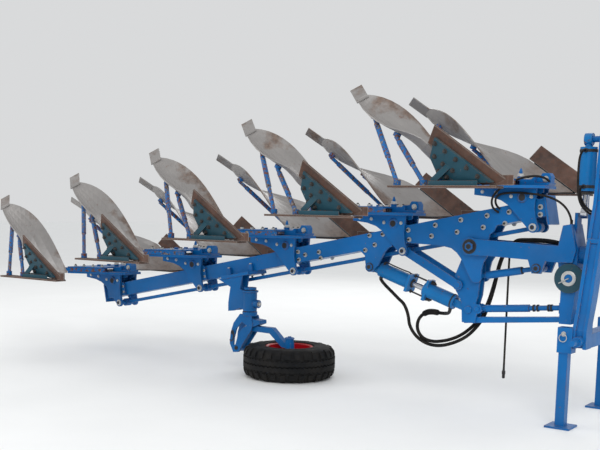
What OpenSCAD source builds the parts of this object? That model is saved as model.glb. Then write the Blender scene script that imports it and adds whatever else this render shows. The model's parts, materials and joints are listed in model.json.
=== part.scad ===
// Mounted reversible moldboard plough with five pairs of bodies, turned a quarter for the road.
// X points forward, to the hitch. Y points left. Z points up from the floor.
// Every console carries one body on each side of the frame's upright middle plane.

/* [Frame] */
// Height of the first console's pivot above the floor
pivot_height = 1450; // [1420:1:1500]
// Distance from one console to the next along the beam
pitch = 1000; // [960:1:1040]
// Slope of the beam, falling to the rear, in degrees
beam_angle = 11.5; // [9:0.5:13]
// Side of the square beam
beam_side = 120; // [100:1:124]
// Wall of the beam
beam_wall = 10; // [6:1:14]
// Distance from the pivot line down to the beam's top face
beam_drop = 31; // [25:1:36]
// Thickness of the frame side plates
plate_t = 20; // [14:1:22]
// Running gap between moving side plates
gap = 5.5; // [5:0.5:8]

/* [Consoles] */
// Thickness of the console cheeks
cheek_t = 20; // [14:1:24]
// Radius of a console's pivot pin
pivot_r = 30; // [24:1:34]
// Lower bolt ahead of the pivot
lower_x = 82; // [70:1:90]
// Lower bolt below the pivot
lower_z = 198; // [190:1:206]
// Radius of the lower bolts
lower_r = 16; // [12:1:18]
// Height of the leg shelf's top above the pivot
shelf_z = 80; // [74:1:84]
// Thickness of the shelf and of the clamp plate
shelf_t = 20; // [14:1:22]
// Width of the shelf at its front end
shelf_front = 200; // [180:1:230]
// Width of the shelf at its rear end
shelf_rear = 700; // [640:1:730]

/* [Bodies] */
// Distance from the frame's middle plane to the soles
sole_y = 900; // [870:1:940]
// Tip of the share ahead of the console's pivot
tip_x = 262; // [240:1:290]
// Land side above the console's pivot
tip_z = 50; // [46:1:54]
// Length of the share's cutting edge
share_l = 645; // [600:1:660]
// Width of the share
share_w = 135; // [120:1:140]
// Thickness of the share
share_t = 12; // [9:1:14]
// Angle of the share's edge to the land side
share_a = 34.4; // [33:0.2:36]
// Slope of the share's face
share_rise = 24; // [22:0.5:26]
// Length of the landside from the tip
landside_l = 850; // [800:1:880]
// Height of the landside
landside_h = 110; // [90:1:130]
// Thickness of the landside
landside_t = 14; // [10:1:16]
// Thickness of the mouldboard
board_t = 9; // [7:1:11]
// Length of the wing's extension plate
ext_l = 150; // [120:1:170]
// Thickness of the leg
leg_t = 30; // [26:1:32]
// Width of the leg
leg_w = 90; // [80:1:100]

/* [Wheel] */
// Radius of the tyre
tyre_r = 370; // [350:1:385]
// Width of the tyre
tyre_w = 260; // [240:1:275]
// Radius of the rim's bead seat
rim_r = 180; // [170:1:190]
// Distance of the wheel's axle from the swing tube
wheel_reach = 410; // [395:1:425]

/* [Hitch] */
// Spread of the lower link pins between their shoulders
link_spread = 965; // [900:1:1000]
// Radius of the lower link pins
link_pin_r = 18.3; // [14:0.1:18.4]
// Height of the lower link pins above the floor
link_z = 560; // [520:1:600]
// Height of the top link pin above the lower link pins
mast_h = 685; // [660:1:700]
// Radius of the top link pin
top_pin_r = 15.9; // [12.5:0.1:16]
// Height of the turnover axis above the floor
turn_z = 1080; // [1070:1:1090]

/* [Hidden] */
$fn = 48;

blue = [0.05, 0.33, 0.62];
teal = [0.22, 0.37, 0.40];
steel = [0.45, 0.42, 0.40];
rust = [0.38, 0.25, 0.19];
dark = [0.10, 0.10, 0.11];
red = [0.62, 0.10, 0.12];
bright = [0.75, 0.76, 0.78];
half = beam_side / 2;
// Middle plane distances of the side plates, from the beam outwards
plate_y = half + plate_t / 2;
cheek_y = half + plate_t + gap + cheek_t / 2;
arm_t = 25;
arm_y = half + plate_t + gap + arm_t / 2;
// Play of a pin in its hole
play = 0.4;

// Way that the wing's extension plate points, in body axes, and how far its corner passes the wing's line
ext_dir = [81, 68, 65];

// Reach of the whole plough, which sets the middle of the part
hitch_front = 650;
ext_over = 8.86;
wing_back = tip_x - 1337 - ext_l * ext_dir[0] / norm(ext_dir) - ext_over;
x_front = hitch_front;
x_rear = -4 * pitch * cos(beam_angle) + wing_back;
c1_x = -(x_front + x_rear) / 2;
c1 = [c1_x, pivot_height];

function pivot(i) = [c1_x - i * pitch * cos(beam_angle), pivot_height - i * pitch * sin(beam_angle)];

// Places that are measured from the first console's pivot, as [forward, up]
main_pin = [-367, -343];
main_pin_r = 28;
horn = [-323, -556];
lug = [-1187, -529];
block = [-383, -792];
link_pin = [-465, -621];
arm_front = [301, turn_z - pivot_height];
spindle_rear = [-345, -556];
spindle_front = [124, -470];
turnbuckle_rear = [-318, -783];
turnbuckle_front = [276, -731];
crank = [395, -95];
cylinder_top = [395, 380];
disc_c = [345, -525];
swing_x = -2310;
swing_y = -100;
stand_x = 450;
stand_y = 400;
stand_z = 600;

// Children drawn in X and Z become a plate square to Y
module slab(y, t) {
  translate([0, y + t / 2, 0]) rotate([90, 0, 0]) linear_extrude(t) children();
}

module both(y, t) {
  for (s = [-1, 1]) slab(s * y, t) children();
}

module from_c1() { translate([c1_x, 0, pivot_height]) children(); }

module on_pivot(i) {
  p = pivot(i);
  translate([p[0], 0, p[1]]) children();
}

// Children drawn with X along the beam and the pivot line at Z = 0
module on_beam() { from_c1() rotate([0, -beam_angle, 0]) children(); }

// A round bar along Y, centred on y
module bar_y(p, y, l, r) {
  translate([p[0], y + l / 2, p[1]]) rotate([90, 0, 0]) cylinder(h = l, r = r);
}

// Children lie along Z from a to b
module along(a, b) {
  d = b - a;
  l = norm(d);
  translate(a) rotate([0, acos(d[2] / l), atan2(d[1], d[0])]) children();
}

module rod_between(a, b, r) {
  along(a, b) cylinder(h = norm(b - a), r = r);
}

function lerp(a, b, s) = a + (b - a) * s;
function bez2(p, s) = lerp(lerp(p[0], p[1], s), lerp(p[1], p[2], s), s);
function bez3(p, s) = lerp(bez2([p[0], p[1], p[2]], s), bez2([p[1], p[2], p[3]], s), s);

// Mouldboard in body axes: back from the tip, out from the land side, up from the sole.
// The free edge follows the share to its corner and then curves to the wing.
share_back = share_w * cos(share_rise) + 3;
function behind_share(l) = [
  l * cos(share_a) + share_back * sin(share_a),
  l * sin(share_a) - share_back * cos(share_a),
  share_w * sin(share_rise) + 12];
corner_s = 0.375;
edge_front = behind_share(share_back / tan(share_a) + 20);
edge_corner = behind_share(share_l);
free_curve = [edge_corner, [822, 397, 210], [1143, 353, 362], [1337, 604, 390]];
top_curve = [[545, 25, 505], [770, 225, 561], [961, 625, 559], [1290, 637, 425]];
bulge_curve = [[95, -8, -110], [80, -130, -90], [120, -130, -20], [10, -10, 0]];
function free_edge(s) = s <= corner_s ? lerp(edge_front, edge_corner, s / corner_s)
  : bez3(free_curve, (s - corner_s) / (1 - corner_s));
function top_edge(s) = bez3(top_curve, s);
function middle(s) = lerp(free_edge(s), top_edge(s), 0.5) + bez3(bulge_curve, s);
function board(s, t) = bez2([free_edge(s), middle(s), top_edge(s)], t);
function unit(v) = v / norm(v);
function board_back(s, t) = unit(cross(
  board(min(s + 0.01, 1), t) - board(max(s - 0.01, 0), t),
  board(s, min(t + 0.01, 1)) - board(s, max(t - 0.01, 0))));

board_ns = 16;
board_nt = 6;
module mouldboard() {
  row = board_nt + 1;
  half_n = (board_ns + 1) * row;
  front = [for (i = [0:board_ns], j = [0:board_nt]) board(i / board_ns, j / board_nt)];
  back = [for (i = [0:board_ns], j = [0:board_nt])
    board(i / board_ns, j / board_nt) + board_t * board_back(i / board_ns, j / board_nt)];
  face = [for (i = [0:board_ns - 1], j = [0:board_nt - 1]) each [
    [i * row + j, (i + 1) * row + j, (i + 1) * row + j + 1],
    [i * row + j, (i + 1) * row + j + 1, i * row + j + 1]]];
  rear = [for (f = face) [f[0] + half_n, f[2] + half_n, f[1] + half_n]];
  low = [for (i = [0:board_ns - 1]) each [
    [i * row, i * row + half_n, (i + 1) * row + half_n],
    [i * row, (i + 1) * row + half_n, (i + 1) * row]]];
  top = [for (i = [0:board_ns - 1]) each [
    [i * row + board_nt, (i + 1) * row + board_nt + half_n, i * row + board_nt + half_n],
    [i * row + board_nt, (i + 1) * row + board_nt, (i + 1) * row + board_nt + half_n]]];
  shin = [for (j = [0:board_nt - 1]) each [
    [j, j + 1, j + 1 + half_n], [j, j + 1 + half_n, j + half_n]]];
  end = board_ns * row;
  wing = [for (j = [0:board_nt - 1]) each [
    [end + j, end + j + 1 + half_n, end + j + 1],
    [end + j, end + j + half_n, end + j + 1 + half_n]]];
  polyhedron(concat(front, back), concat(face, rear, low, top, shin, wing), convexity = 6);
}

// Both bodies of console i, drawn in body axes
module both_bodies(i) {
  on_pivot(i) for (side = [0, 1]) mirror([0, side, 0])
    translate([tip_x, -sole_y, tip_z]) rotate([90, 0, 180]) children();
}

// Children lie in the share's plane, X along the edge and Y out of the share
module share_plane() { rotate([0, 0, share_a]) rotate([-share_rise, 0, 0]) children(); }

module extension() {
  // The plate stands up from the wing's end
  a = free_edge(1);
  b = top_edge(1);
  d = unit(ext_dir) * ext_l;
  e = unit(b - a) * 12;
  n = unit(cross(d, b - a)) * board_t;
  o = unit(d) * -28;
  m = n * 0.85;
  c = [a - e + o + m, b + e + o + m, b + e + d + m, a - e + d + m];
  polyhedron(concat(c, [for (p = c) p + n]),
    [[0, 2, 1], [0, 3, 2], [4, 5, 6], [4, 6, 7], [0, 5, 4], [0, 1, 5], [1, 6, 5], [1, 2, 6],
     [2, 7, 6], [2, 3, 7], [3, 4, 7], [3, 0, 4]], convexity = 2);
}

module boards(i) color(steel) both_bodies(i) {
  mouldboard();
  extension();
}

module shares(i) color(rust) both_bodies(i) {
  clip = share_back / tan(share_a);
  share_plane() linear_extrude(share_t)
    polygon([[40, 0], [share_l, 0], [share_l, -share_w], [clip, -share_w]]);
  // Chisel point over the land side
  translate([0, 62, 0]) rotate([90, 0, 0]) linear_extrude(60)
    polygon([[0, -6], [36, -6], [175, 48], [168, 72], [20, 22]]);
  translate([110, -landside_t, 0]) cube([landside_l - 110, landside_t, landside_h]);
}

// Landside fork, slope plate, brace and stays of one body
stay_top = [[0.86, 0.42], [0.62, 0.30]];
stay_foot = [[landside_l - 30, 75], [landside_l - 220, 75]];
module frogs(i) color(teal) both_bodies(i) {
  clip = 62 * cos(share_rise) / tan(share_a);
  translate([0, 30, 0]) rotate([90, 0, 0]) linear_extrude(30)
    polygon([[240, 20], [570, 20], [592, 120], [668, 345], [560, 340], [482, 210], [412, 132], [330, 86], [275, 40]]);
  difference() {
    share_plane() translate([0, 0, -16]) linear_extrude(15.5)
      polygon([[clip + 40, -62], [share_l - 40, -62], [share_l - 60, -200], [500, -262], [430, -275], [clip + 300, -262]]);
    translate([0, -100, -60]) cube([900, 100.5, 400]);
  }
  along([560, 24, 52], [450, 125, 58]) translate([-5, -20, 0]) cube([10, 40, 150]);
}

module stays() {
  for (k = [0, 1]) {
    s = stay_top[k][0];
    t = stay_top[k][1];
    n = board_back(s, t);
    pad = board(s, t) + n * (board_t + 0.6);
    foot = [stay_foot[k][0], 18, stay_foot[k][1]];
    neck = pad + n * 26;
    along(pad, neck) cylinder(h = 26, r = 26);
    rod_between(neck, foot, 15);
    rod_between(lerp(neck, foot, 0.12), lerp(neck, foot, 0.62), 19);
    translate([foot[0], 36, foot[2]]) rotate([90, 0, 0]) cylinder(h = 35.5, r = 24);
  }
}

// Legs lie flat on the shelf, then curve out and forward to the frogs
leg_out = [-330, 315];
leg_turn = 170;
leg_from = 150;
leg_to = 40;
leg_reach = 25;
module leg_outline() {
  c = leg_out + leg_turn * [sin(leg_from), -cos(leg_from)];
  end = c + leg_turn * [-sin(leg_to), cos(leg_to)];
  r1 = leg_turn - leg_w / 2;
  r2 = leg_turn + leg_w / 2;
  // Straight part on the shelf
  translate(leg_out) rotate(leg_from) translate([-330, -leg_w / 2]) square([331, leg_w]);
  // Bow between the two straight parts
  intersection() {
    translate(c) difference() {
      circle(r = r2);
      circle(r = r1);
    }
    polygon([c, c + 700 * [-sin(leg_from), cos(leg_from)], c + 700 * [-1, 0.3],
      c + 700 * [-sin(leg_to), cos(leg_to)]]);
  }
  translate(end) rotate(leg_to) translate([-1, -leg_w / 2]) square([leg_reach, leg_w]);
}

module legs(i) color(blue) {
  on_pivot(i) for (side = [0, 1]) mirror([0, side, 0]) mirror([0, 1, 0])
    translate([0, 0, shelf_z]) linear_extrude(leg_t) leg_outline();
  both_bodies(i) stays();
}

module shelf_outline() {
  polygon([[155, -shelf_front / 2], [155, shelf_front / 2], [-335, shelf_rear / 2], [-335, -shelf_rear / 2]]);
}

module cheek_outline() {
  difference() {
    union() {
      polygon([[-350, shelf_z - shelf_t], [-350, 14], [-225, 0], [-150, -22], [-98, -54],
        [-24, -132], [lower_x - 36, -lower_z - 8], [lower_x + 34, -lower_z - 8],
        [96, -120], [88, -60], [98, shelf_z - shelf_t]]);
      translate([lower_x, -lower_z]) circle(r = 36);
    }
  }
}

module console(i) color(blue) on_pivot(i) {
  cheek_end = shelf_z - shelf_t;
  both(cheek_y, cheek_t) cheek_outline();
  bar_y([0, 0], 0, 2 * (cheek_y + cheek_t / 2 + 10), pivot_r);
  bar_y([lower_x, -lower_z], 0, 2 * (cheek_y + cheek_t / 2 + 12), lower_r);
  translate([0, 0, cheek_end]) linear_extrude(shelf_t) shelf_outline();
  translate([0, 0, shelf_z + leg_t]) linear_extrude(12) intersection() {
    shelf_outline();
    translate([-400, -400]) square([360, 800]);
  }
  // Clamp casting over the legs' front ends, with its cheeks and the spacer stack behind
  translate([0, 0, shelf_z]) difference() {
    rotate([90, 0, 0]) translate([0, 0, -60]) linear_extrude(120) polygon([[-44, 0], [155, 0], [165, 14], [165, 62],
      [150, 84], [104, 84], [88, 58], [52, 54], [36, 42], [-44, 42]]);
    for (y = [-60, 34]) translate([64, y - 1, 20]) cube([110, 28, 80]);
    translate([128, 100, 44]) rotate([90, 0, 0]) cylinder(h = 200, r = 15);
  }
  for (y = [-62, 62]) translate([-230, y, shelf_z + 41.9]) cylinder(h = 14, r = 18);
  translate([-62, 0, shelf_z]) {
    cylinder(h = 96, r = 12);
    translate([0, 0, 95.9]) cylinder(h = 22, r1 = 12, r2 = 4);
    cylinder(h = 62, r = 22);
  }
  // Bent bracket that carries the shelf's front end
  for (s = [-1, 1]) translate([0, s * 46, 0]) slab(0, 14) polygon([[34, cheek_end + 1], [124, cheek_end + 1],
    [124, 36], [112, 30], [96, 24], [88, 36], [60, 36], [34, 46]]);
}

module main_beam() color(blue) on_beam() {
  end = 4 * pitch + 150;
  difference() {
    translate([-end, -half, -beam_drop - beam_side]) cube([end + 140, beam_side, beam_side]);
    translate([-end - 10, beam_wall - half, beam_wall - beam_drop - beam_side])
      cube([end + 300, beam_side - 2 * beam_wall, beam_side - 2 * beam_wall]);
  }
  // Cap on the rear end and the plate that closes the front end
  translate([-end - 12, -half - 16, -beam_drop - beam_side - 30]) cube([12, beam_side + 32, beam_side + 46]);
  translate([140, -half - 32, -beam_drop - beam_side - 60]) cube([16, beam_side + 64, beam_side + 78]);
}

// An ear from the beam's top up to a console's pivot, drawn in beam axes
module ear_outline() {
  circle(r = 58);
  polygon([[-58, 0], [58, 0], [110, -beam_drop - 10], [110, -beam_drop - beam_side],
    [-110, -beam_drop - beam_side], [-110, -beam_drop - 10]]);
}

module frame_plates() color(blue) {
  difference() {
    both(plate_y, plate_t) {
      translate(c1) rotate(beam_angle) {
        translate([-2 * pitch - 110, -beam_drop - beam_side]) square([2 * pitch + 245, beam_side]);
        for (i = [0:2]) translate([-i * pitch, 0]) ear_outline();
      }
      translate(c1) {
        // Gusset and horn below the beam, ahead of the second console
        difference() {
          polygon([[-880, -300], [-560, -250], [-180, -180], [-205, -235], [-233, -258], [-240, -300],
            [-240, -400], [-272, -450], [-283, -500], [-283, -570], [-360, -575], [-387, -531],
            [-412, -480], [-441, -432], [-475, -392], [-519, -362], [-580, -350], [-645, -345], [-880, -338]]);
        }
        translate(horn) circle(r = 40);
        // Bracket for the cylinders behind the second console
        polygon([[-1330, -360], [-1235, -290], [-1000, -280], [-1000, -368], [-1030, -379], [-1063, -414],
          [-1086, -454], [-1114, -515], [-1150, -545], [-1215, -545], [-1226, -500], [-1231, -447],
          [-1270, -415], [-1330, -400]]);
        translate(lug) circle(r = 38);
      }
    }
    for (i = [0:2]) bar_y(pivot(i), 0, 300, pivot_r + play);
    bar_y(c1 + main_pin, 0, 300, main_pin_r + play);
    bar_y(c1 + lug, 0, 300, 22 + play);
  }
}

module rear_ears() color(blue) difference() {
  both(plate_y, plate_t) translate(c1) rotate(beam_angle)
    for (i = [3:4]) translate([-i * pitch, 0]) ear_outline();
  for (i = [3:4]) bar_y(pivot(i), 0, 300, pivot_r + play);
}

module cylinder_lug() color(blue) {
  bar_y(c1 + lug, 0, 2 * (plate_y + plate_t / 2 + 10), 22);
}

// Clamp below the beam and the upright tube that the wheel's arm turns in
tube_r = 58;
tube_top = 670 - pivot_height;
tube_bottom = 500 - pivot_height;
module wheel_bracket() color(blue) from_c1() {
  difference() {
    union() {
      translate([swing_x, swing_y, tube_bottom]) cylinder(h = tube_top - tube_bottom, r = tube_r);
      translate([swing_x, swing_y, tube_top - 14]) cylinder(h = 14, r = tube_r + 10);
      // Round end of the stop bolt's boss
      translate([swing_x + 20, swing_y, tube_bottom + 62]) rotate([0, 90, 0]) cylinder(h = 72, r = 34);
      // Two cheeks from the clamp down to the tube
      for (s = [-1, 1]) slab(swing_y + s * 43, 16) polygon([[swing_x - 20, tube_bottom + 8],
        [swing_x - 70, tube_bottom + 22], [swing_x - 125, tube_bottom - 4], [swing_x - 190, tube_bottom - 12],
        [swing_x - 190, tube_bottom + 60], [swing_x - 170, tube_bottom + 190], [swing_x - 285, tube_top + 70],
        [swing_x - 300, -702], [swing_x - 48, -650.7], [swing_x - 66, tube_top + 10], [swing_x - 20, tube_top - 20]]);
    }
    translate([swing_x, swing_y, tube_bottom - 1]) cylinder(h = tube_top - tube_bottom + 2, r = spindle_r + play);
  }
  // Clamp plate under the beam with its four bolts' bosses
  rotate([0, -beam_angle, 0]) translate([0, 0, -beam_drop - beam_side]) {
    translate([-2660, -160, -26]) cube([290, 250, 25.5]);
    for (x = [-2650, -2416], y = [-half - 26, half + 2]) translate([x, y, -26]) cube([36, 24, 26 + beam_side / 2]);
  }
}

// Swing head, bent arm and axle of the depth wheel
wheel_z = pivot_height - tyre_w / 2;
hub_z = 130 - wheel_z;
spindle_r = 31.6;
arm_h = 46;
module crescent() {
  // Guide cheek with its curved slot
  difference() {
    polygon([[50, -34], [-62, -26], [-128, -105], [-158, -190], [-166, -280], [-128, -352],
      [-70, -345], [-26, -270], [60, -150], [72, -96]]);
    polygon([[-40, -92], [-96, -150], [-122, -230], [-126, -290], [-104, -286], [-84, -214], [-34, -142], [8, -118]]);
  }
}

module swing_head() color(blue) from_c1() {
  ax = swing_x + wheel_reach;
  z = tube_bottom;
  translate([swing_x, swing_y, z - 20]) cylinder(h = tube_top - z + 45, r = spindle_r);
  translate([swing_x, swing_y, tube_top + 5]) cylinder(h = 20, r = 52);
  translate([swing_x, swing_y, z - 40]) cylinder(h = 34, r = 62);
  for (s = [-1, 1]) slab(swing_y + s * 47, 14) translate([swing_x, z]) crescent();
  slab(swing_y, 94) translate([swing_x - 95, z - 312]) circle(r = 26);
  // Step above the arm
  slab(swing_y, 94) translate([swing_x, z]) polygon([[36, -60], [138, -66], [140, -96], [60, -128], [36, -100]]);
  // Flat arm, bent down to the hub
  slab(swing_y, 50) polygon([[swing_x - 10, z - 118], [swing_x - 114, z - 298], [swing_x - 84, z - 330],
    [swing_x + 30, z - 118 - arm_h], [swing_x + 225, z - 120 - arm_h], [ax - 62, hub_z - 26], [ax + 30, hub_z - 32],
    [ax + 30, hub_z + 16], [ax - 44, hub_z + 20], [swing_x + 250, z - 118]]);
  translate([ax, swing_y, hub_z - 150]) cylinder(h = 196, r = 35);
}

// Seat of the tyre's beads on the rim
seat_z = tyre_w / 2 - 26;
flange_r = rim_r + 16;
module wheel_rim() color(red) from_c1()
  translate([swing_x + wheel_reach, swing_y, -wheel_z]) rotate_extrude() {
    polygon([[35.1, -70], [62, -70], [62, -12], [104, -12], [126, -36], [rim_r - 24, -36], [rim_r - 24, -56],
      [rim_r - 8, -72], [rim_r - 8, -seat_z - 8], [flange_r - 8, -seat_z - 16], [flange_r, -seat_z - 8], [flange_r - 2, -seat_z],
      [rim_r, -seat_z], [rim_r, -64], [rim_r - 16, -48], [rim_r - 16, 48], [rim_r, 64], [rim_r, seat_z], [flange_r - 2, seat_z],
      [flange_r, seat_z + 8], [flange_r - 8, seat_z + 16], [rim_r - 8, seat_z + 8], [rim_r - 8, 72],
      [rim_r - 24, 56], [rim_r - 24, -24], [130, -24], [108, 0], [62, 0], [62, 46], [35.1, 46]]);
  }

// Tyre with round shoulders, its beads on the rim's seats
module tyre() color(dark) from_c1()
  translate([swing_x + wheel_reach, swing_y, -wheel_z]) rotate_extrude() {
    w = tyre_w / 2;
    difference() {
      union() {
        translate([rim_r, -seat_z]) square([60, 2 * seat_z]);
        translate([flange_r + 34, -w]) square([tyre_r - flange_r - 90, 2 * w]);
        translate([tyre_r - 60, 56 - w]) square([60, 2 * w - 112]);
        for (s = [-1, 1]) translate([tyre_r - 56, s * (w - 56)]) circle(r = 56);
        for (s = [-1, 1]) translate([flange_r + 36, s * (w - 34)]) circle(r = 34);
      }
      // Room for the rim's flanges
      for (s = [-1, 1]) translate([rim_r - 1, s > 0 ? seat_z : -w - 1]) square([flange_r - rim_r + 1.5, w - seat_z + 1]);
    }
  }

// Rod that keeps the consoles parallel, as bars between eyes on the lower bolts, in beam axes
rod_u = lower_x * cos(beam_angle) - lower_z * sin(beam_angle);
rod_v = -lower_z * cos(beam_angle) - lower_x * sin(beam_angle);
rod_w = 24;
rod_h = 28;
eye_r = 34;
eye_l = 60;
shank = 50;
module control_rod() color(blue) on_beam()
  for (i = [1:4]) translate([rod_u - i * pitch + shank, -rod_w / 2, rod_v - rod_h / 2])
    cube([pitch - 2 * shank, rod_w, rod_h]);

module rod_eyes() color(blue) on_beam() for (i = [0:4]) translate([rod_u - i * pitch, 0, rod_v]) difference() {
  union() {
    rotate([90, 0, 0]) cylinder(h = eye_l, r = eye_r, center = true);
    // Shanks that the bars seat on, one at either end of the row
    translate([i == 4 ? 0 : -shank, -rod_w / 2, -rod_h / 2]) cube([i == 0 || i == 4 ? shank : 2 * shank, rod_w, rod_h]);
  }
  rotate([90, 0, 0]) cylinder(h = 200, r = lower_r + play, center = true);
}

link_y = 63;
module width_link() color(blue) {
  a = pivot(1) + [lower_x, -lower_z];
  b = c1 + link_pin;
  difference() {
    both(link_y, 12) {
      translate(a) circle(r = 36);
      translate(b) circle(r = 36);
      translate(a) rotate(atan2(b[1] - a[1], b[0] - a[0])) translate([0, -30]) square([norm(b - a), 60]);
    }
    bar_y(a, 0, 300, lower_r + play);
  }
  // Pin heads outside the front eyes
  for (s = [-1, 1]) bar_y(b, s * (link_y + 9), 8, 22);
}

// Cylinders in line: the rear barrel hangs on the bracket, the front one pushes the lever block
cyl_dir = unit(block - lug);
cyl_len = norm(block - lug);
module on_cylinder() {
  p = c1 + lug;
  translate([p[0], 0, p[1]]) rotate([0, 90 - atan2(cyl_dir[1], cyl_dir[0]), 0]) children();
}

module cylinder_rear() color(blue) on_cylinder() difference() {
  union() {
    rotate([90, 0, 0]) translate([0, 0, -28]) cylinder(h = 56, r = 42);
    translate([0, 0, 20]) cylinder(h = 60, r = 40);
    translate([0, 0, 60]) cylinder(h = 280, r = 54);
    translate([-66, -66, 322]) cube([132, 132, 22]);
  }
  rotate([90, 0, 0]) translate([0, 0, -60]) cylinder(h = 120, r = 22 + play);
  translate([0, 0, 120]) cylinder(h = 300, r = 22.4);
}

module cylinder_front() color(blue) on_cylinder() difference() {
  union() {
    translate([0, 0, 212]) cylinder(h = 300, r = 22);
    translate([0, 0, 455]) cylinder(h = cyl_len - 455 - 130, r = 54);
    translate([-78, -50, 470]) cube([156, 100, 22]);
    translate([-28, -22, cyl_len - 131]) cube([56, 44, 131]);
    translate([0, 0, cyl_len]) rotate([90, 0, 0]) translate([0, 0, -22]) cylinder(h = 44, r = 36);
  }
}

module turn_head() color(blue) {
  p = c1 + arm_front;
  // Shaft that runs in the headstock
  translate([p[0] - 10, 0, turn_z]) rotate([0, 90, 0]) cylinder(h = 320, r = 60);
  slab(0, 170) translate(c1) polygon([[262, -430], [300, -180], [345, -170], [390, -330], [390, -620],
    [370, -830], [290, -830], [290, -600]]);
  // Crank lugs for the turnover cylinder
  for (x = [342, 428]) translate([c1_x + x, 0, 0]) rotate([90, 0, 90]) linear_extrude(20)
    polygon([[-45, turn_z], [45, turn_z], [40, pivot_height + crank[1]], [-40, pivot_height + crank[1]]]);
}

module arm_plates() color(blue) {
  difference() {
    both(arm_y, arm_t) translate(c1) {
      translate(main_pin) circle(r = 62);
      polygon([[main_pin[0], main_pin[1] + 55], [-313, -291], [265, -314], [290, -180], [345, -170],
        [385, -340], [366, -420], [271, -424], [185, -420], [155, -505], [93, -505], [63, -415],
        [-201, -404], [main_pin[0], main_pin[1] - 60]]);
    }
    bar_y(c1 + spindle_front, 0, 300, 20 + play);
  }
  bar_y(c1 + main_pin, 0, 2 * (arm_y + arm_t / 2 + 14), main_pin_r);
}

lever_y = 44;
lever_t = 16;
module lever_plates() color(blue) {
  difference() {
    both(lever_y - 8, lever_t) translate(c1) {
      translate(main_pin) circle(r = 56);
      polygon([[-420, -343], [-312, -343], [-300, -500], [-315, -690], [-330, -742], [-316, -800],
        [-330, -885], [-430, -885], [-440, -741], [-500, -640], [-499, -555], [-450, -430]]);
      translate(turnbuckle_rear) circle(r = 34);
      translate(link_pin) circle(r = 38);
    }
    bar_y(c1 + main_pin, 0, 300, main_pin_r + play);
    bar_y(c1 + spindle_rear, 0, 300, 18 + play);
    bar_y(c1 + turnbuckle_rear, 0, 300, 18 + play);
  }
  // Pin heads for the cylinder, and bosses that the width link runs beside
  for (s = [-1, 1]) {
    bar_y(c1 + block, s * 49, 10, 26);
    bar_y(c1 + link_pin, s * 48, 8, 26);
  }
}

module upper_spindle() color(blue) {
  a = c1 + spindle_rear;
  b = c1 + spindle_front;
  rod_between([a[0], 0, a[1]], [b[0], 0, b[1]], 17);
  rod_between(lerp([a[0], 0, a[1]], [b[0], 0, b[1]], 0.15), lerp([a[0], 0, a[1]], [b[0], 0, b[1]], 0.7), 27);
  bar_y(a, 0, 104, 18);
  bar_y(a, 0, 50, 26);
  bar_y(b, 0, 2 * (arm_y + arm_t / 2 + 8), 20);
  bar_y(b, 0, 60, 28);
}

module lower_turnbuckle() color(blue) {
  a = c1 + turnbuckle_rear;
  b = c1 + turnbuckle_front;
  rod_between([a[0], 0, a[1]], [b[0], 0, b[1]], 18);
  rod_between(lerp([a[0], 0, a[1]], [b[0], 0, b[1]], 0.09), lerp([a[0], 0, a[1]], [b[0], 0, b[1]], 0.62), 26);
  bar_y(a, 0, 104, 18);
  bar_y(a, 0, 50, 22);
  translate([c1_x + 268, -36, b[1] - 36]) cube([21.7, 72, 72]);
}

module lower_channel() color(blue) from_c1() {
  slab(0, 55) polygon([[-420, -850], [-420, -892], [289.7, -826], [289.7, -790]]);
}

module stop_disc() color(teal) {
  slab(-94.4, 18) translate(c1 + disc_c) circle(r = 97);
}

// Upright side member: a plate outline that leans from the hitch shaft in to the tower's head
module tower_side(s) {
  polygon([[s * 330, link_z - 48], [s * 428, link_z - 48], [s * 432, link_z + 70], [s * 392, link_z + 170],
    [s * 178, turn_z + 330], [s * 122, pivot_height + 400], [s * 92, pivot_height + 430], [s * 62, pivot_height + 430],
    [s * 62, pivot_height + 330], [s * 104, turn_z + 250], [s * 262, link_z + 240], [s * 318, link_z + 110]]);
}

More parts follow.
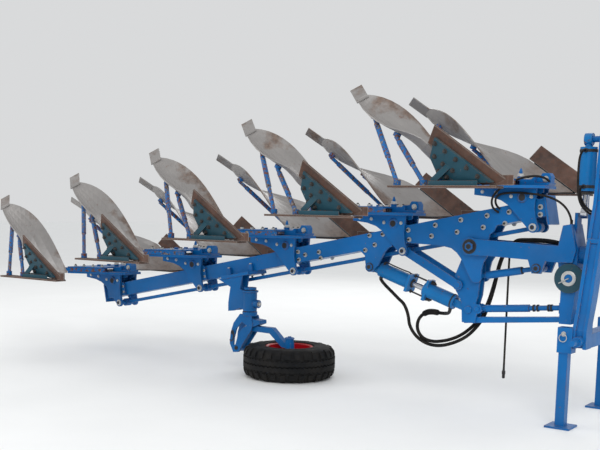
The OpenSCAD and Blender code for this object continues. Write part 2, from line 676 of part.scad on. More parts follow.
side_t = 22;
member_l = 90;
module headstock() color(blue) {
  x = c1_x + 480;
  difference() {
    union() {
      // Bearing of the turnover shaft, with its flange
      translate([x, 0, turn_z]) rotate([0, 90, 0]) cylinder(h = 130, r = 92);
      translate([x + 20, 0, turn_z]) rotate([0, 90, 0]) cylinder(h = side_t, r = 128);
      for (s = [-1, 1]) {
        // Front and rear plates of the side members, with the web between them
        for (u = [20, 20 + member_l - side_t]) translate([x + u, 0, 0]) rotate([90, 0, 90])
          linear_extrude(side_t) tower_side(s);
        translate([x + 30, 0, 0]) rotate([90, 0, 90]) linear_extrude(member_l - 20) difference() {
          offset(delta = -14) tower_side(s);
          offset(delta = -34) tower_side(s);
        }
      }
      translate([x + 20, -400, link_z - 45]) cube([90, 800, 90]);
      // Bridge plates above and below the bearing
      for (z = [turn_z - 112, turn_z + 84]) translate([x + 20, -250, z]) cube([90, 500, 28]);
      translate([x + 20, -100, pivot_height + cylinder_top[1] - 30]) cube([90, 200, 60]);
      // Clevis for the top link
      for (s = [-1, 1]) translate([x + 20, s * 42 - 12, 0]) rotate([90, 0, 0]) translate([0, 0, -24]) linear_extrude(24)
        polygon([[0, turn_z + 100], [100, turn_z + 100], [150, link_z + mast_h - 40], [150, link_z + mast_h + 30],
          [120, link_z + mast_h + 60], [0, link_z + mast_h + 60]]);
      // Pin that the turnover cylinder hangs on
      translate([c1_x + 366, 0, pivot_height + cylinder_top[1]]) rotate([0, 90, 0]) cylinder(h = 140, r = 20);
      // Sleeves for the parking stands
      for (s = [-1, 1]) translate([c1_x + stand_x - 40, s * stand_y - 40, link_z - 80])
        cube([x + 25 - c1_x - stand_x + 40, 80, 160]);
    }
    translate([x - 10, 0, turn_z]) rotate([0, 90, 0]) cylinder(h = 200, r = 60 + play);
    translate([x + 130, 80, link_z + mast_h]) rotate([90, 0, 0]) cylinder(h = 160, r = top_pin_r + 0.3);
    bar_y([c1_x + 545, link_z], 0, 1000, 32 + play);
    for (s = [-1, 1]) translate([c1_x + stand_x - 30.5, s * stand_y - 30.5, 0]) cube([61, 61, 1200]);
  }
}

module hitch_shaft() color(blue) {
  p = [c1_x + 545, link_z];
  bar_y(p, 0, link_spread, 32);
  bar_y(p, 0, link_spread + 160, link_pin_r);
}

module stand(s) color(blue) {
  x = c1_x + stand_x;
  translate([x - 30, s * stand_y - 30, 12]) cube([60, 60, stand_z - 12]);
  translate([x - 80, s * stand_y - 80, 0]) cube([160, 160, 12.5]);
}

module stand_left() stand(1);
module stand_right() stand(-1);

module turn_barrel() color(blue) {
  p = c1 + cylinder_top;
  difference() {
    union() {
      translate([p[0], 0, p[1] - 335]) cylinder(h = 285, r = 55);
      translate([p[0] - 25, 0, p[1]]) rotate([0, 90, 0]) cylinder(h = 50, r = 40);
      translate([p[0], 0, p[1] - 60]) cylinder(h = 60, r = 24);
    }
    translate([p[0] - 60, 0, p[1]]) rotate([0, 90, 0]) cylinder(h = 120, r = 20 + play);
    translate([p[0], 0, p[1] - 400]) cylinder(h = 300, r = 22.4);
  }
}

module turn_rod() color(bright) {
  p = c1 + crank;
  translate([p[0], 0, p[1] + 20]) cylinder(h = 330, r = 22);
  translate([p[0] - 20, 0, p[1]]) rotate([0, 90, 0]) cylinder(h = 40, r = 38);
}

main_beam();
frame_plates();
rear_ears();
cylinder_lug();
wheel_bracket();
console(0);  // console_1
console(1);  // console_2
console(2);  // console_3
console(3);  // console_4
console(4);  // console_5
legs(0);  // legs_1
legs(1);  // legs_2
legs(2);  // legs_3
legs(3);  // legs_4
legs(4);  // legs_5
frogs(0);  // frogs_1
frogs(1);  // frogs_2
frogs(2);  // frogs_3
frogs(3);  // frogs_4
frogs(4);  // frogs_5
boards(0);  // boards_1
boards(1);  // boards_2
boards(2);  // boards_3
boards(3);  // boards_4
boards(4);  // boards_5
shares(0);  // shares_1
shares(1);  // shares_2
shares(2);  // shares_3
shares(3);  // shares_4
shares(4);  // shares_5
control_rod();
rod_eyes();
width_link();
cylinder_rear();
cylinder_front();
swing_head();
wheel_rim();
tyre();
turn_head();
arm_plates();
lever_plates();
upper_spindle();
lower_turnbuckle();
lower_channel();
stop_disc();
headstock();
hitch_shaft();
stand_left();
stand_right();
turn_barrel();
turn_rod();
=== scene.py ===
"""Looks of the reversible plough: paint, worn steel, tyre tread, bolts and hoses around the CAD frame."""

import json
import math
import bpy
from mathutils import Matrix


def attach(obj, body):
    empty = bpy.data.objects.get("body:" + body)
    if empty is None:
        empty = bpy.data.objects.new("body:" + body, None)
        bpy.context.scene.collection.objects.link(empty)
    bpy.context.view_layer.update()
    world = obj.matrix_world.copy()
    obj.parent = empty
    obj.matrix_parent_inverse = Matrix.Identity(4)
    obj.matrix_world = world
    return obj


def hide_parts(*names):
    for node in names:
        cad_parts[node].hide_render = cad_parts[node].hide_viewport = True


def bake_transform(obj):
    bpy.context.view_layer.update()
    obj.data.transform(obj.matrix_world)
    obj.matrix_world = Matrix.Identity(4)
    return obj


bl_info = {
    "name": "Reversible plough",
    "version": (1, 0, 0),
    "blender": (4, 5, 0),
    "location": "3D View > Sidebar > Plough",
    "description": "Paint, wear, tread, fasteners and hoses of a mounted reversible plough",
    "category": "Object",
}

import bmesh
import bpy
from bpy.props import FloatProperty, FloatVectorProperty, IntProperty, PointerProperty
from mathutils import Matrix, Vector

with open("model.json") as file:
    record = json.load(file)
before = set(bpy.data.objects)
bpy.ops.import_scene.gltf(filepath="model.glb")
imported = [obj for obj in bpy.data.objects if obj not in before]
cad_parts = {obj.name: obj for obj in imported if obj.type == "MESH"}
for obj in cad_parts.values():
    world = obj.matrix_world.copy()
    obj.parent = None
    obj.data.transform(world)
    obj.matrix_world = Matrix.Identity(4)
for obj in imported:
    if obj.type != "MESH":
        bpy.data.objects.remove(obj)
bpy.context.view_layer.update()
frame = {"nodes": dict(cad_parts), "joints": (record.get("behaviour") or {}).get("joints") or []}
NODES = frame["nodes"]
JOINTS = {j["name"]: j for j in frame["joints"]}
CONSOLES = range(1, 6)


def pivot_of(joint):
    return Vector(JOINTS[joint]["pos_m"])


def console_pivot(console):
    return pivot_of(f"console_{console}_pivot")


FIRST_PIVOT = console_pivot(1)
WHEEL_CENTRE = pivot_of("wheel_spin")
STEP_BACK = FIRST_PIVOT - console_pivot(2)
BEAM_SLOPE = math.atan2(STEP_BACK.z, STEP_BACK.x)
BEAM_WAY = Vector((math.cos(BEAM_SLOPE), 0, math.sin(BEAM_SLOPE)))
BEAM_DOWN = Vector((math.sin(BEAM_SLOPE), 0, -math.cos(BEAM_SLOPE)))
# The width cylinders' rear pin and the block that they push, from the first pivot in millimetres
LUG = (-1187, 0, -529)
BLOCK = (-383, 0, -792)
CYLINDER_WAY = (Vector(BLOCK) - Vector(LUG)).normalized()
CYLINDER_OUT = Vector((CYLINDER_WAY.z, 0, -CYLINDER_WAY.x))


# Materials


class Finish:
    """A node material that is built from named procedural layers."""

    def __init__(self, name, metallic, roughness):
        self.mat = bpy.data.materials.new(name)
        self.mat.use_nodes = True
        self.tree = self.mat.node_tree
        self.tree.nodes.clear()
        out = self.tree.nodes.new("ShaderNodeOutputMaterial")
        self.shader = self.tree.nodes.new("ShaderNodeBsdfPrincipled")
        self.shader.inputs["Metallic"].default_value = metallic
        self.shader.inputs["Roughness"].default_value = roughness
        self.link(self.shader.outputs[0], out.inputs["Surface"])
        self.place = self.tree.nodes.new("ShaderNodeTexCoord").outputs["Object"]

    def node(self, kind, **values):
        n = self.tree.nodes.new(kind)
        for key, value in values.items():
            setattr(n, key, value)
        return n

    def link(self, a, b):
        self.tree.links.new(a, b)

    def stretched(self, scale, rotation=(0, 0, 0)):
        n = self.node("ShaderNodeMapping")
        n.inputs["Scale"].default_value = scale
        n.inputs["Rotation"].default_value = rotation
        self.link(self.place, n.inputs["Vector"])
        return n.outputs[0]

    def noise(self, scale, detail, rough=0.55, vector=None, distortion=0.0):
        n = self.node("ShaderNodeTexNoise")
        n.inputs["Scale"].default_value = scale
        n.inputs["Detail"].default_value = detail
        n.inputs["Roughness"].default_value = rough
        n.inputs["Distortion"].default_value = distortion
        self.link(vector or self.place, n.inputs["Vector"])
        return n.outputs["Fac"]

    def band(self, value, low, high, to_low=0.0, to_high=1.0):
        n = self.node("ShaderNodeMapRange", clamp=True)
        for key, v in zip(("From Min", "From Max", "To Min", "To Max"), (low, high, to_low, to_high)):
            n.inputs[key].default_value = v
        self.link(value, n.inputs["Value"])
        return n.outputs["Result"]

    def math(self, operation, a, b):
        n = self.node("ShaderNodeMath", operation=operation)
        for socket, v in zip(n.inputs, (a, b)):
            if isinstance(v, (int, float)):
                socket.default_value = v
            else:
                self.link(v, socket)
        return n.outputs[0]

    def mix(self, mask, low, high):
        n = self.node("ShaderNodeMix", data_type="RGBA")
        self.link(mask, n.inputs["Factor"])
        for key, v in (("A", low), ("B", high)):
            socket = [s for s in n.inputs if s.name == key and s.type == "RGBA"][0]
            if isinstance(v, (tuple, list)):
                socket.default_value = (*v[:3], 1.0)
            else:
                self.link(v, socket)
        return [s for s in n.outputs if s.type == "RGBA"][0]

    def upward(self, low, high):
        n = self.node("ShaderNodeSeparateXYZ")
        self.link(self.node("ShaderNodeNewGeometry").outputs["Normal"], n.inputs[0])
        return self.band(n.outputs["Z"], low, high)

    def edges(self, radius):
        """One where a rounded edge would turn away from the face."""
        bevel = self.node("ShaderNodeBevel", samples=4)
        bevel.inputs["Radius"].default_value = radius
        dot = self.node("ShaderNodeVectorMath", operation="DOT_PRODUCT")
        self.link(bevel.outputs[0], dot.inputs[0])
        self.link(self.node("ShaderNodeNewGeometry").outputs["Normal"], dot.inputs[1])
        return self.band(self.math("SUBTRACT", 1.0, dot.outputs["Value"]), 0.004, 0.10)

    def colour(self, value):
        self.link(value, self.shader.inputs["Base Color"])

    def rough(self, value):
        self.link(value, self.shader.inputs["Roughness"])

    def bump(self, height, distance, strength):
        n = self.node("ShaderNodeBump")
        n.inputs["Distance"].default_value = distance
        n.inputs["Strength"].default_value = strength
        self.link(height, n.inputs["Height"])
        self.link(n.outputs[0], self.shader.inputs["Normal"])


def linear(colour):
    return tuple(c / 12.92 if c <= 0.04045 else ((c + 0.055) / 1.055) ** 2.4 for c in colour)


SOIL = linear((0.50, 0.43, 0.35))
RUST = linear((0.42, 0.24, 0.15))
RUST_DARK = linear((0.25, 0.16, 0.12))
BARE = linear((0.52, 0.51, 0.50))
RUBBED = linear((0.56, 0.53, 0.50))
RUBBER_DUST = linear((0.44, 0.40, 0.35))


def paint(name, colour, wear, dust, gloss=0.34):
    """Sprayed paint with faded patches, chipped edges, rust spots and field dust."""
    f = Finish(name, 0.0, gloss)
    f.shader.inputs["Specular IOR Level"].default_value = 0.22
    base = linear(colour)
    faded = tuple(min(1.0, c * 1.06 + 0.006) for c in base)
    deep = tuple(c * 0.72 for c in base)
    tone = f.mix(f.band(f.noise(2.3, 5), 0.35, 0.68), deep, base)
    tone = f.mix(f.band(f.noise(0.9, 3), 0.5, 0.75, 0.0, 0.7), tone, faded)
    # Rust spots and chips, most of them on the edges
    spots = f.band(f.noise(38, 6, 0.7), 0.70 - 0.05 * wear, 0.735 - 0.05 * wear)
    edge = f.math("MULTIPLY", f.edges(0.005), f.band(f.noise(22, 5, 0.65), 0.52 - 0.10 * wear, 0.60))
    chips = f.math("MAXIMUM", spots, edge)
    bare = f.mix(f.band(f.noise(60, 4), 0.4, 0.6), RUST_DARK, BARE)
    tone = f.mix(chips, tone, f.mix(f.band(f.noise(9, 4), 0.42, 0.62), RUST, bare))
    # Dust lies on what faces up and in cloudy patches
    lying = f.math("MULTIPLY", f.upward(0.25, 0.95), f.band(f.noise(5, 7, 0.62), 0.36, 0.66))
    clouds = f.math("MULTIPLY", f.band(f.noise(3.4, 6, 0.6), 0.48, 0.78), 0.25)
    film = f.math("MULTIPLY", f.math("MAXIMUM", lying, clouds), dust)
    f.colour(f.mix(film, tone, SOIL))
    f.rough(f.math("ADD", f.math("MULTIPLY", f.math("MAXIMUM", film, chips), 0.4),
                   f.band(f.noise(12, 5), 0.3, 0.7, gloss - 0.06, gloss + 0.1)))
    f.bump(f.math("SUBTRACT", f.math("MULTIPLY", f.noise(150, 3), 0.3), chips), 0.0006, 0.45)


def scoured_steel(name, light, brown, pivot):
    """Board steel: smooth grey where the soil slides, speckled brown toward the share and the top edge."""
    f = Finish(name, 0.3, 0.42)
    grey, stained = linear(light), linear(brown)
    # Stains lie by their place from the console's pivot
    local = f.node("ShaderNodeVectorMath", operation="SUBTRACT")
    f.link(f.place, local.inputs[0])
    local.inputs[1].default_value = pivot
    split = f.node("ShaderNodeSeparateXYZ")
    f.link(local.outputs[0], split.inputs[0])
    streaks = f.noise(5, 5, 0.5, f.stretched((0.55, 2.6, 2.2), (0, 0.5, 0.35)), 0.4)
    tone = f.mix(f.band(streaks, 0.3, 0.7), tuple(c * 0.86 for c in grey), grey)
    cloud = f.math("MULTIPLY", f.math("SUBTRACT", f.noise(3.2, 7, 0.62), 0.5), 1.1)
    toward_share = f.band(f.math("ADD", split.outputs["X"], cloud), -0.34, -0.02)
    side = f.math("ABSOLUTE", split.outputs["Y"], 0)
    top_edge = f.band(f.math("ADD", side, cloud), 0.42, 0.30)
    stain = f.math("MULTIPLY", f.math("MAXIMUM", toward_share, top_edge), 0.85)
    speckle = f.mix(f.band(f.noise(46, 5, 0.7), 0.42, 0.62), stained, tuple(c * 0.55 for c in stained))
    tone = f.mix(stain, tone, speckle)
    rust = f.band(f.noise(17, 7, 0.7), 0.62, 0.70, 0.0, 0.6)
    f.colour(f.mix(rust, tone, RUST))
    dull = f.math("MAXIMUM", rust, stain)
    f.rough(f.math("ADD", f.math("MULTIPLY", dull, 0.3), f.band(streaks, 0.2, 0.8, 0.36, 0.5)))
    grain = f.math("MULTIPLY", f.noise(60, 4), 0.3)
    f.bump(f.math("ADD", grain, f.math("MULTIPLY", dull, 0.5)), 0.0008, 0.45)


def rusted_steel(name, main, dark, wear):
    """Brown oxide with bare, rubbed edges."""
    f = Finish(name, 0.15, 0.6)
    tone = f.mix(f.band(f.noise(7, 7, 0.65), 0.34, 0.66), linear(dark), linear(main))
    tone = f.mix(f.band(f.noise(34, 6, 0.7), 0.52, 0.72, 0.0, 0.6 * min(1.0, wear * 1.5)), tone, RUST)
    rubbed = f.math("MULTIPLY", f.edges(0.008), wear)
    f.colour(f.mix(rubbed, tone, RUBBED))
    f.rough(f.band(f.noise(20, 5), 0.3, 0.7, 0.5, 0.78))
    f.bump(f.noise(80, 6, 0.7), 0.0012, 0.6)


def bright_steel(name, colour, roughness):
    """Clean metal with faint clouds and drawn marks."""
    f = Finish(name, 1.0, roughness)
    base = linear(colour)
    f.colour(f.mix(f.band(f.noise(30, 4), 0.3, 0.7), tuple(c * 0.82 for c in base), base))
    marks = f.noise(55, 5, 0.6, f.stretched((1, 1, 6)))
    f.rough(f.band(marks, 0.3, 0.7, roughness - 0.05, roughness + 0.12))
    f.bump(f.noise(300, 3), 0.0003, 0.2)


def rubber(name, colour, dust):
    """Black rubber, greyed by dust in patches."""
    f = Finish(name, 0.0, 0.78)
    base = linear(colour)
    f.shader.inputs["Specular IOR Level"].default_value = 0.25
    tone = f.mix(f.band(f.noise(11, 6, 0.6), 0.3, 0.7), tuple(c * 0.7 for c in base), base)
    film = f.math("MULTIPLY", f.band(f.noise(6, 8, 0.65), 0.40, 0.72), dust)
    f.colour(f.mix(film, tone, RUBBER_DUST))
    f.rough(f.band(f.noise(25, 4), 0.3, 0.7, 0.68, 0.88))
    f.bump(f.noise(120, 5, 0.6), 0.0008, 0.4)


# Sizes and colours that a user may change


class PloughColours(bpy.types.PropertyGroup):
    """Colours of the plough's finishes."""

    frame: FloatVectorProperty(name="Frame paint", description="Colour of the frame, consoles and legs",
                               default=(0.0, 0.40, 0.67), subtype="COLOR", min=0, max=1)
    cylinder: FloatVectorProperty(name="Cylinder paint", description="Colour of the three cylinders",
                                  default=(0.05, 0.45, 0.71), subtype="COLOR", min=0, max=1)
    # Teal paint, set darker as painted shade because the frogs lie under the boards
    frog: FloatVectorProperty(name="Frog paint", description="Colour of the frogs behind the boards",
                              default=(0.12, 0.29, 0.35), subtype="COLOR", min=0, max=1)
    rim: FloatVectorProperty(name="Rim paint", description="Colour of the depth wheel's rim",
                             default=(0.74, 0.06, 0.12), subtype="COLOR", min=0, max=1)
    board_light: FloatVectorProperty(name="Board, scoured", description="Colour of the scoured board steel",
                                     default=(0.575, 0.56, 0.55), subtype="COLOR", min=0, max=1)
    board_brown: FloatVectorProperty(name="Board, stained", description="Colour of the stained board steel",
                                     default=(0.47, 0.39, 0.34), subtype="COLOR", min=0, max=1)
    share: FloatVectorProperty(name="Share", description="Colour of the rusted shares",
                               default=(0.36, 0.25, 0.20), subtype="COLOR", min=0, max=1)
    floor: FloatVectorProperty(name="Floor", description="Colour of the studio floor",
                               default=(0.93, 0.93, 0.925), subtype="COLOR", min=0, max=1)


class PloughSizes(bpy.types.PropertyGroup):
    """Sizes of the plough's small pieces."""

    lug_height: FloatProperty(name="Tread height", description="Height of the tyre's shoulder blocks",
                              default=0.0115, unit="LENGTH", min=0.002, max=0.012)
    lug_count: IntProperty(name="Tread blocks", description="Shoulder blocks on each side of the tyre",
                           default=30, min=12, max=60)
    bolt_radius: FloatProperty(name="Bolt head", description="Corner radius of the frame bolts' heads",
                               default=0.015, unit="LENGTH", min=0.008, max=0.02)
    hose_radius: FloatProperty(name="Hose", description="Radius of the width cylinders' hoses",
                               default=0.0125, unit="LENGTH", min=0.006, max=0.014)
    thin_hose_radius: FloatProperty(name="Thin hose", description="Radius of the thin hoses",
                                    default=0.0075, unit="LENGTH", min=0.004, max=0.009)
    wear: FloatProperty(name="Wear", description="How much of the paint is chipped",
                        default=1.0, min=0, max=2)
    dust: FloatProperty(name="Dust", description="How much field dust lies on the paint",
                        default=0.32, min=0, max=1)


class PloughView(bpy.types.PropertyGroup):
    """The stage's camera and lamps."""

    camera_from_pivot: FloatVectorProperty(
        name="Camera place", description="Camera's place from the first console's pivot",
        default=(2.382, -6.058, -0.133), subtype="TRANSLATION", unit="LENGTH")
    azimuth: FloatProperty(name="Azimuth", description="Turn of the view from straight across",
                           default=math.radians(35.07), subtype="ANGLE")
    pitch: FloatProperty(name="Pitch", description="Rise of the view",
                         default=math.radians(-7.02), subtype="ANGLE")
    roll: FloatProperty(name="Roll", description="Roll of the camera",
                        default=math.radians(1.30), subtype="ANGLE")
    lens: FloatProperty(name="Lens", description="Focal length on a sensor 36 mm wide",
                        default=55.3, unit="CAMERA", min=20, max=200)
    rise: FloatProperty(name="Vertical shift", description="Shift of the picture frame", default=0.168)
    world: FloatProperty(name="World light", description="Strength of the soft surrounding light",
                         default=0.85, min=0, max=3)
    key: FloatProperty(name="Key light", description="Power of the large soft lamp",
                       default=420, unit="POWER", min=0)


def colours():
    return bpy.context.scene.plough_colours


def sizes():
    return bpy.context.scene.plough_sizes


def views():
    return bpy.context.scene.plough_view


def finish(name):
    return bpy.data.materials[name]


def dress(node, name):
    """Gives a CAD node its finish."""
    mesh = NODES[node].data
    mesh.materials.clear()
    mesh.materials.append(finish(name))


def new_object(name, mesh, finishes):
    """An object of the scene; its finishes are named in the order of its faces' numbers."""
    obj = bpy.data.objects.new(name, mesh)
    bpy.context.scene.collection.objects.link(obj)
    for material in finishes.split():
        mesh.materials.append(finish(material))
    return obj


def piece(name, shape, finishes, body, angle=35, shift=None):
    """A new piece that rides on a body."""
    mesh = shape.done(name, angle)
    if shift is not None:
        mesh.transform(Matrix.Translation(shift))
    obj = new_object(name, mesh, finishes)
    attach(obj, body)
    return obj


# Places are in millimetres: forward, left, up. Radii, heights and profiles are in metres
SIDES = (-1, 1)
UP = (0, 0, 1)
FORWARD = (1, 0, 0)
BACK = (-1, 0, 0)
NEAR = (0, -1, 0)
# Small pieces stand this far off the faces that they sit on
CLEAR = 0.2


def beside(base, x, y, z):
    return base + Vector((x, y, z)) / 1000


def at(x, y, z):
    """A place from the first console's pivot."""
    return beside(FIRST_PIVOT, x, y, z)


def on_beam(along, below, side):
    """A place in the beam's own axes, from the first console's pivot."""
    return FIRST_PIVOT + (BEAM_WAY * along + BEAM_DOWN * below + Vector((0, side, 0))) / 1000


def on_cylinder(along, out, side=0.0):
    """A place in the width cylinders' own axes: along from the lug, out below, side left."""
    return at(*LUG) + (CYLINDER_WAY * along + CYLINDER_OUT * out + Vector((0, side, 0))) / 1000


def smooth_path(points, step):
    """Catmull-Rom curve through the points, with about one ring per step."""
    pts = [points[0] * 2 - points[1], *points, points[-1] * 2 - points[-2]]
    out = []
    for a, b, c, d in zip(pts, pts[1:], pts[2:], pts[3:]):
        count = max(1, round((c - b).length / step))
        for k in range(count):
            t = k / count
            out.append(((b * 2) + (c - a) * t + (a * 2 - b * 5 + c * 4 - d) * t ** 2
                        + (b * 3 - a - c * 3 + d) * t ** 3) / 2)
    return [*out, points[-1]]


# Nuts and bolt heads: corner radius, height, washer's radius, length of the thread's end
WHEEL_NUT = (0.0125, 0.012, 0.015, 0.008)
CLAMP_NUT = (0.015, 0.011, 0, 0.014)
CLAMP_HEAD = (0.0105, 0.009)
ROD_NUT = (0.023, 0.007, 0, 0.005)
CHEEK_BOLT = (0.010, 0.007, 0.013)
LEG_BOLT = (0.015, 0.012, 0.019, 0.008)
SHELF_PIN = (0.017, 0.010, 0.021)
SHELF_BOLT = (0.021, 0.016, 0.026)
SHARE_NUT = (0.013, 0.010, 0.016, 0.008)
STOP_ROD_HEAD = (0.0145, 0.012, 0.017)
STOP_ROD_NUT = (0.0165, 0.026, 0.019)
STOP_BOLT = (0.016, 0.012, 0.021)
HOOK_BOLT = (0.012, 0.009, 0.016)
ARM_BOLT = (0.018, 0.011, 0.024)
STAND_PIN = (0.012, 0.010, 0.016)
TOWER_BOLT = (0.010, 0.008, 0.013)
BEARING_BOLT = (0.012, 0.009, 0.0155)
# Of a nut's corner radius: its washer's thickness, its chamfered top and its thread
WASHER_THICKNESS = 0.18
NUT_TOP = 0.86
NUT_THREAD = 0.56
THREAD_RINGS = 8
DISC_CHAMFER = 0.15


class Shape:
    """A mesh put together from turned and swept solids, in metres."""

    def __init__(self):
        self.bm = bmesh.new()
        # Number of the material that new faces take
        self.tint = 0

    def skin(self, rings, closed=False):
        """Faces between rings, capped unless they close; a ring of one point is a tip."""
        made = [[self.bm.verts.new(p) for p in ring] for ring in rings]
        pairs = list(zip(made, made[1:])) + ([(made[-1], made[0])] if closed else [])
        for low, high in pairs:
            for k in range(max(len(low), len(high))):
                around = (low[k % len(low)], low[(k + 1) % len(low)],
                          high[(k + 1) % len(high)], high[k % len(high)])
                corners = []
                for v in around:
                    if v not in corners:
                        corners.append(v)
                if len(corners) > 2:
                    self.bm.faces.new(corners).material_index = self.tint
        if not closed:
            for ring in (made[0][::-1], made[-1]):
                if len(ring) > 2:
                    self.bm.faces.new(ring).material_index = self.tint

    def turned(self, profile, place, axis, sides=24, closed=False):
        """Turns (radius, height) pairs about an axis through place."""
        turn = Vector(axis).to_track_quat("Z", "Y").to_matrix()
        rings = []
        for r, h in profile:
            angles = [math.tau * (k + 0.5) / sides for k in range(sides if r > 0 else 1)]
            rings.append([Vector(place) + turn @ Vector((r * math.cos(a), r * math.sin(a), h))
                          for a in angles])
        self.skin(rings, closed)

    def disc(self, place, axis, radius, height):
        c = min(radius, height) * DISC_CHAMFER
        self.turned([(radius, 0), (radius, height - c), (radius - c, height)], place, axis)

    def bolt(self, place, axis, radius, height, washer=0.0, stud=0.0):
        """Hexagon nut on its washer; the thread's end takes the next material."""
        axis = Vector(axis).normalized()
        lift = 0.0
        if washer:
            lift = radius * WASHER_THICKNESS
            self.disc(place, axis, washer, lift)
        seat = Vector(place) + axis * lift
        self.turned([(radius, 0), (radius, height * 0.82), (radius * NUT_TOP, height)], seat, axis, 6)
        if stud:
            r = radius * NUT_THREAD
            thread = [(r * (1 if k % 2 else 0.9), height + stud * k / THREAD_RINGS)
                      for k in range(THREAD_RINGS)]
            self.tint += 1
            self.turned([(r, height * 0.5), *thread, (r * 0.75, height + stud)], seat, axis, 16)
            self.tint -= 1

    def swept(self, path, radius, sides=12):
        """Round tube along a path, with flat ends; the radius may be a function of the share passed."""
        ahead = (path[1] - path[0]).normalized()
        side = ahead.orthogonal().normalized()
        rings = []
        for k, p in enumerate(path):
            ahead = (path[min(k + 1, len(path) - 1)] - path[max(k - 1, 0)]).normalized()
            side = (side - ahead * side.dot(ahead)).normalized()
            other = ahead.cross(side)
            r = radius(k / (len(path) - 1)) if callable(radius) else radius
            rings.append([p + (side * math.cos(a) + other * math.sin(a)) * r
                          for a in (math.tau * j / sides for j in range(sides))])
        self.skin(rings)

    def done(self, name, angle):
        """The finished mesh, smooth up to an angle in degrees."""
        bmesh.ops.recalc_face_normals(self.bm, faces=self.bm.faces)
        mesh = bpy.data.meshes.new(name)
        self.bm.to_mesh(mesh)
        self.bm.free()
        mesh.polygons.foreach_set("use_smooth", [True] * len(mesh.polygons))
        mesh.set_sharp_from_angle(angle=math.radians(angle))
        return mesh


# Stage, in metres
SOFT_LIGHT = (0.96, 0.98, 1.0)
BACKDROP = (0.88, 0.89, 0.90)
# The backdrop meets the lit floor without a step
BACKDROP_STRENGTH = 0.788
FLOOR_REACH = 60.0
LAMP_SIZE = 5.0
# Name, place, target, share of the key light's power
LAMPS = (
    ("key", (6.5, -7.5, 7.0), (0.5, 0, 0.8), 1.0),
    ("fill", (-7.0, -6.0, 5.0), (-1, 0, 0.8), 0.45),
    ("back", (-3.0, 8.0, 6.5), (0, 0, 1), 0.5),
)
# Millimetres, as cameras are given
SENSOR_WIDTH = 36.0
FAR_CLIP = 500


class PLOUGH_OT_stage(bpy.types.Operator):
    """Sets up the floor, the lamps and the camera"""

    bl_idname = "plough.stage"
    bl_label = "Stage"

    def backdrop(self, scene, strength):
        """Soft light from all round; the camera, metal and glass see a pale backdrop."""
        world = bpy.data.worlds.new("studio")
        scene.world = world
        world.use_nodes = True
        nodes, link = world.node_tree.nodes, world.node_tree.links.new
        nodes.clear()
        ray = nodes.new("ShaderNodeLightPath")
        seen = ray.outputs["Is Camera Ray"]
        for kind in ("Is Glossy Ray", "Is Transmission Ray"):
            either = nodes.new("ShaderNodeMath")
            either.operation = "MAXIMUM"
            link(seen, either.inputs[0])
            link(ray.outputs[kind], either.inputs[1])
            seen = either.outputs[0]
        mix = nodes.new("ShaderNodeMixShader")
        link(seen, mix.inputs[0])
        for colour, power, socket in ((SOFT_LIGHT, strength, 1), (BACKDROP, BACKDROP_STRENGTH, 2)):
            light = nodes.new("ShaderNodeBackground")
            light.inputs["Color"].default_value = (*colour, 1)
            light.inputs["Strength"].default_value = power
            link(light.outputs[0], mix.inputs[socket])
        link(mix.outputs[0], nodes.new("ShaderNodeOutputWorld").inputs["Surface"])

    def floor(self, scene):
        mesh = bpy.data.meshes.new("floor")
        r = FLOOR_REACH
        mesh.from_pydata([(-r, -r, 0), (r, -r, 0), (r, r, 0), (-r, r, 0)], [], [(0, 1, 2, 3)])
        floor = bpy.data.objects.new("floor", mesh)
        scene.collection.objects.link(floor)
        f = Finish("floor", 0.0, 0.85)
        base = linear(colours().floor)
        f.colour(f.mix(f.band(f.noise(1.4, 5), 0.3, 0.7), tuple(c * 0.97 for c in base), base))
        f.bump(f.noise(40, 4), 0.0008, 0.2)
        mesh.materials.append(f.mat)

    def lamps(self, scene, power):
        for name, place, target, share in LAMPS:
            lamp = bpy.data.lights.new(name, "AREA")
            lamp.energy = power * share
            lamp.size = LAMP_SIZE
            obj = bpy.data.objects.new(name, lamp)
            scene.collection.objects.link(obj)
            obj.location = place
            obj.rotation_euler = (Vector(target) - Vector(place)).to_track_quat("-Z", "Y").to_euler()

    def camera(self, scene, view):
        lens = bpy.data.cameras.new("camera")
        camera = bpy.data.objects.new("camera", lens)
        scene.collection.objects.link(camera)
        lens.sensor_fit = "HORIZONTAL"
        lens.sensor_width = SENSOR_WIDTH
        lens.lens = view.lens
        lens.shift_y = view.rise
        lens.clip_end = FAR_CLIP
        az, pitch, roll = view.azimuth, view.pitch, view.roll
        ahead = Vector((-math.sin(az) * math.cos(pitch), math.cos(az) * math.cos(pitch), math.sin(pitch)))
        level = Vector((math.cos(az), math.sin(az), 0))
        upright = level.cross(ahead)
        right = level * math.cos(roll) + upright * math.sin(roll)
        up = upright * math.cos(roll) - level * math.sin(roll)
        turn = Matrix((right, up, -ahead)).transposed()
        place = FIRST_PIVOT + Vector(view.camera_from_pivot)
        camera.matrix_world = Matrix.Translation(place) @ turn.to_4x4()
        scene.camera = camera

    def execute(self, context):
        scene, view = context.scene, views()
        scene.view_settings.view_transform = "Standard"
        self.backdrop(scene, view.world)
        self.floor(scene)
        self.lamps(scene, view.key)
        self.camera(scene, view)
        return {"FINISHED"}


# Colours of the plain steels and rubbers, as light and dark patches where there are two
SHARE_DARK = (0.24, 0.17, 0.14)
DARK_STEEL = (0.17, 0.17, 0.175)
DARK_STEEL_DEEP = (0.09, 0.09, 0.10)
ROD_STEEL = (0.80, 0.81, 0.83)
ZINC = (0.80, 0.80, 0.79)
TYRE_BLACK = (0.045, 0.05, 0.06)
HOSE_BLACK = (0.05, 0.05, 0.055)
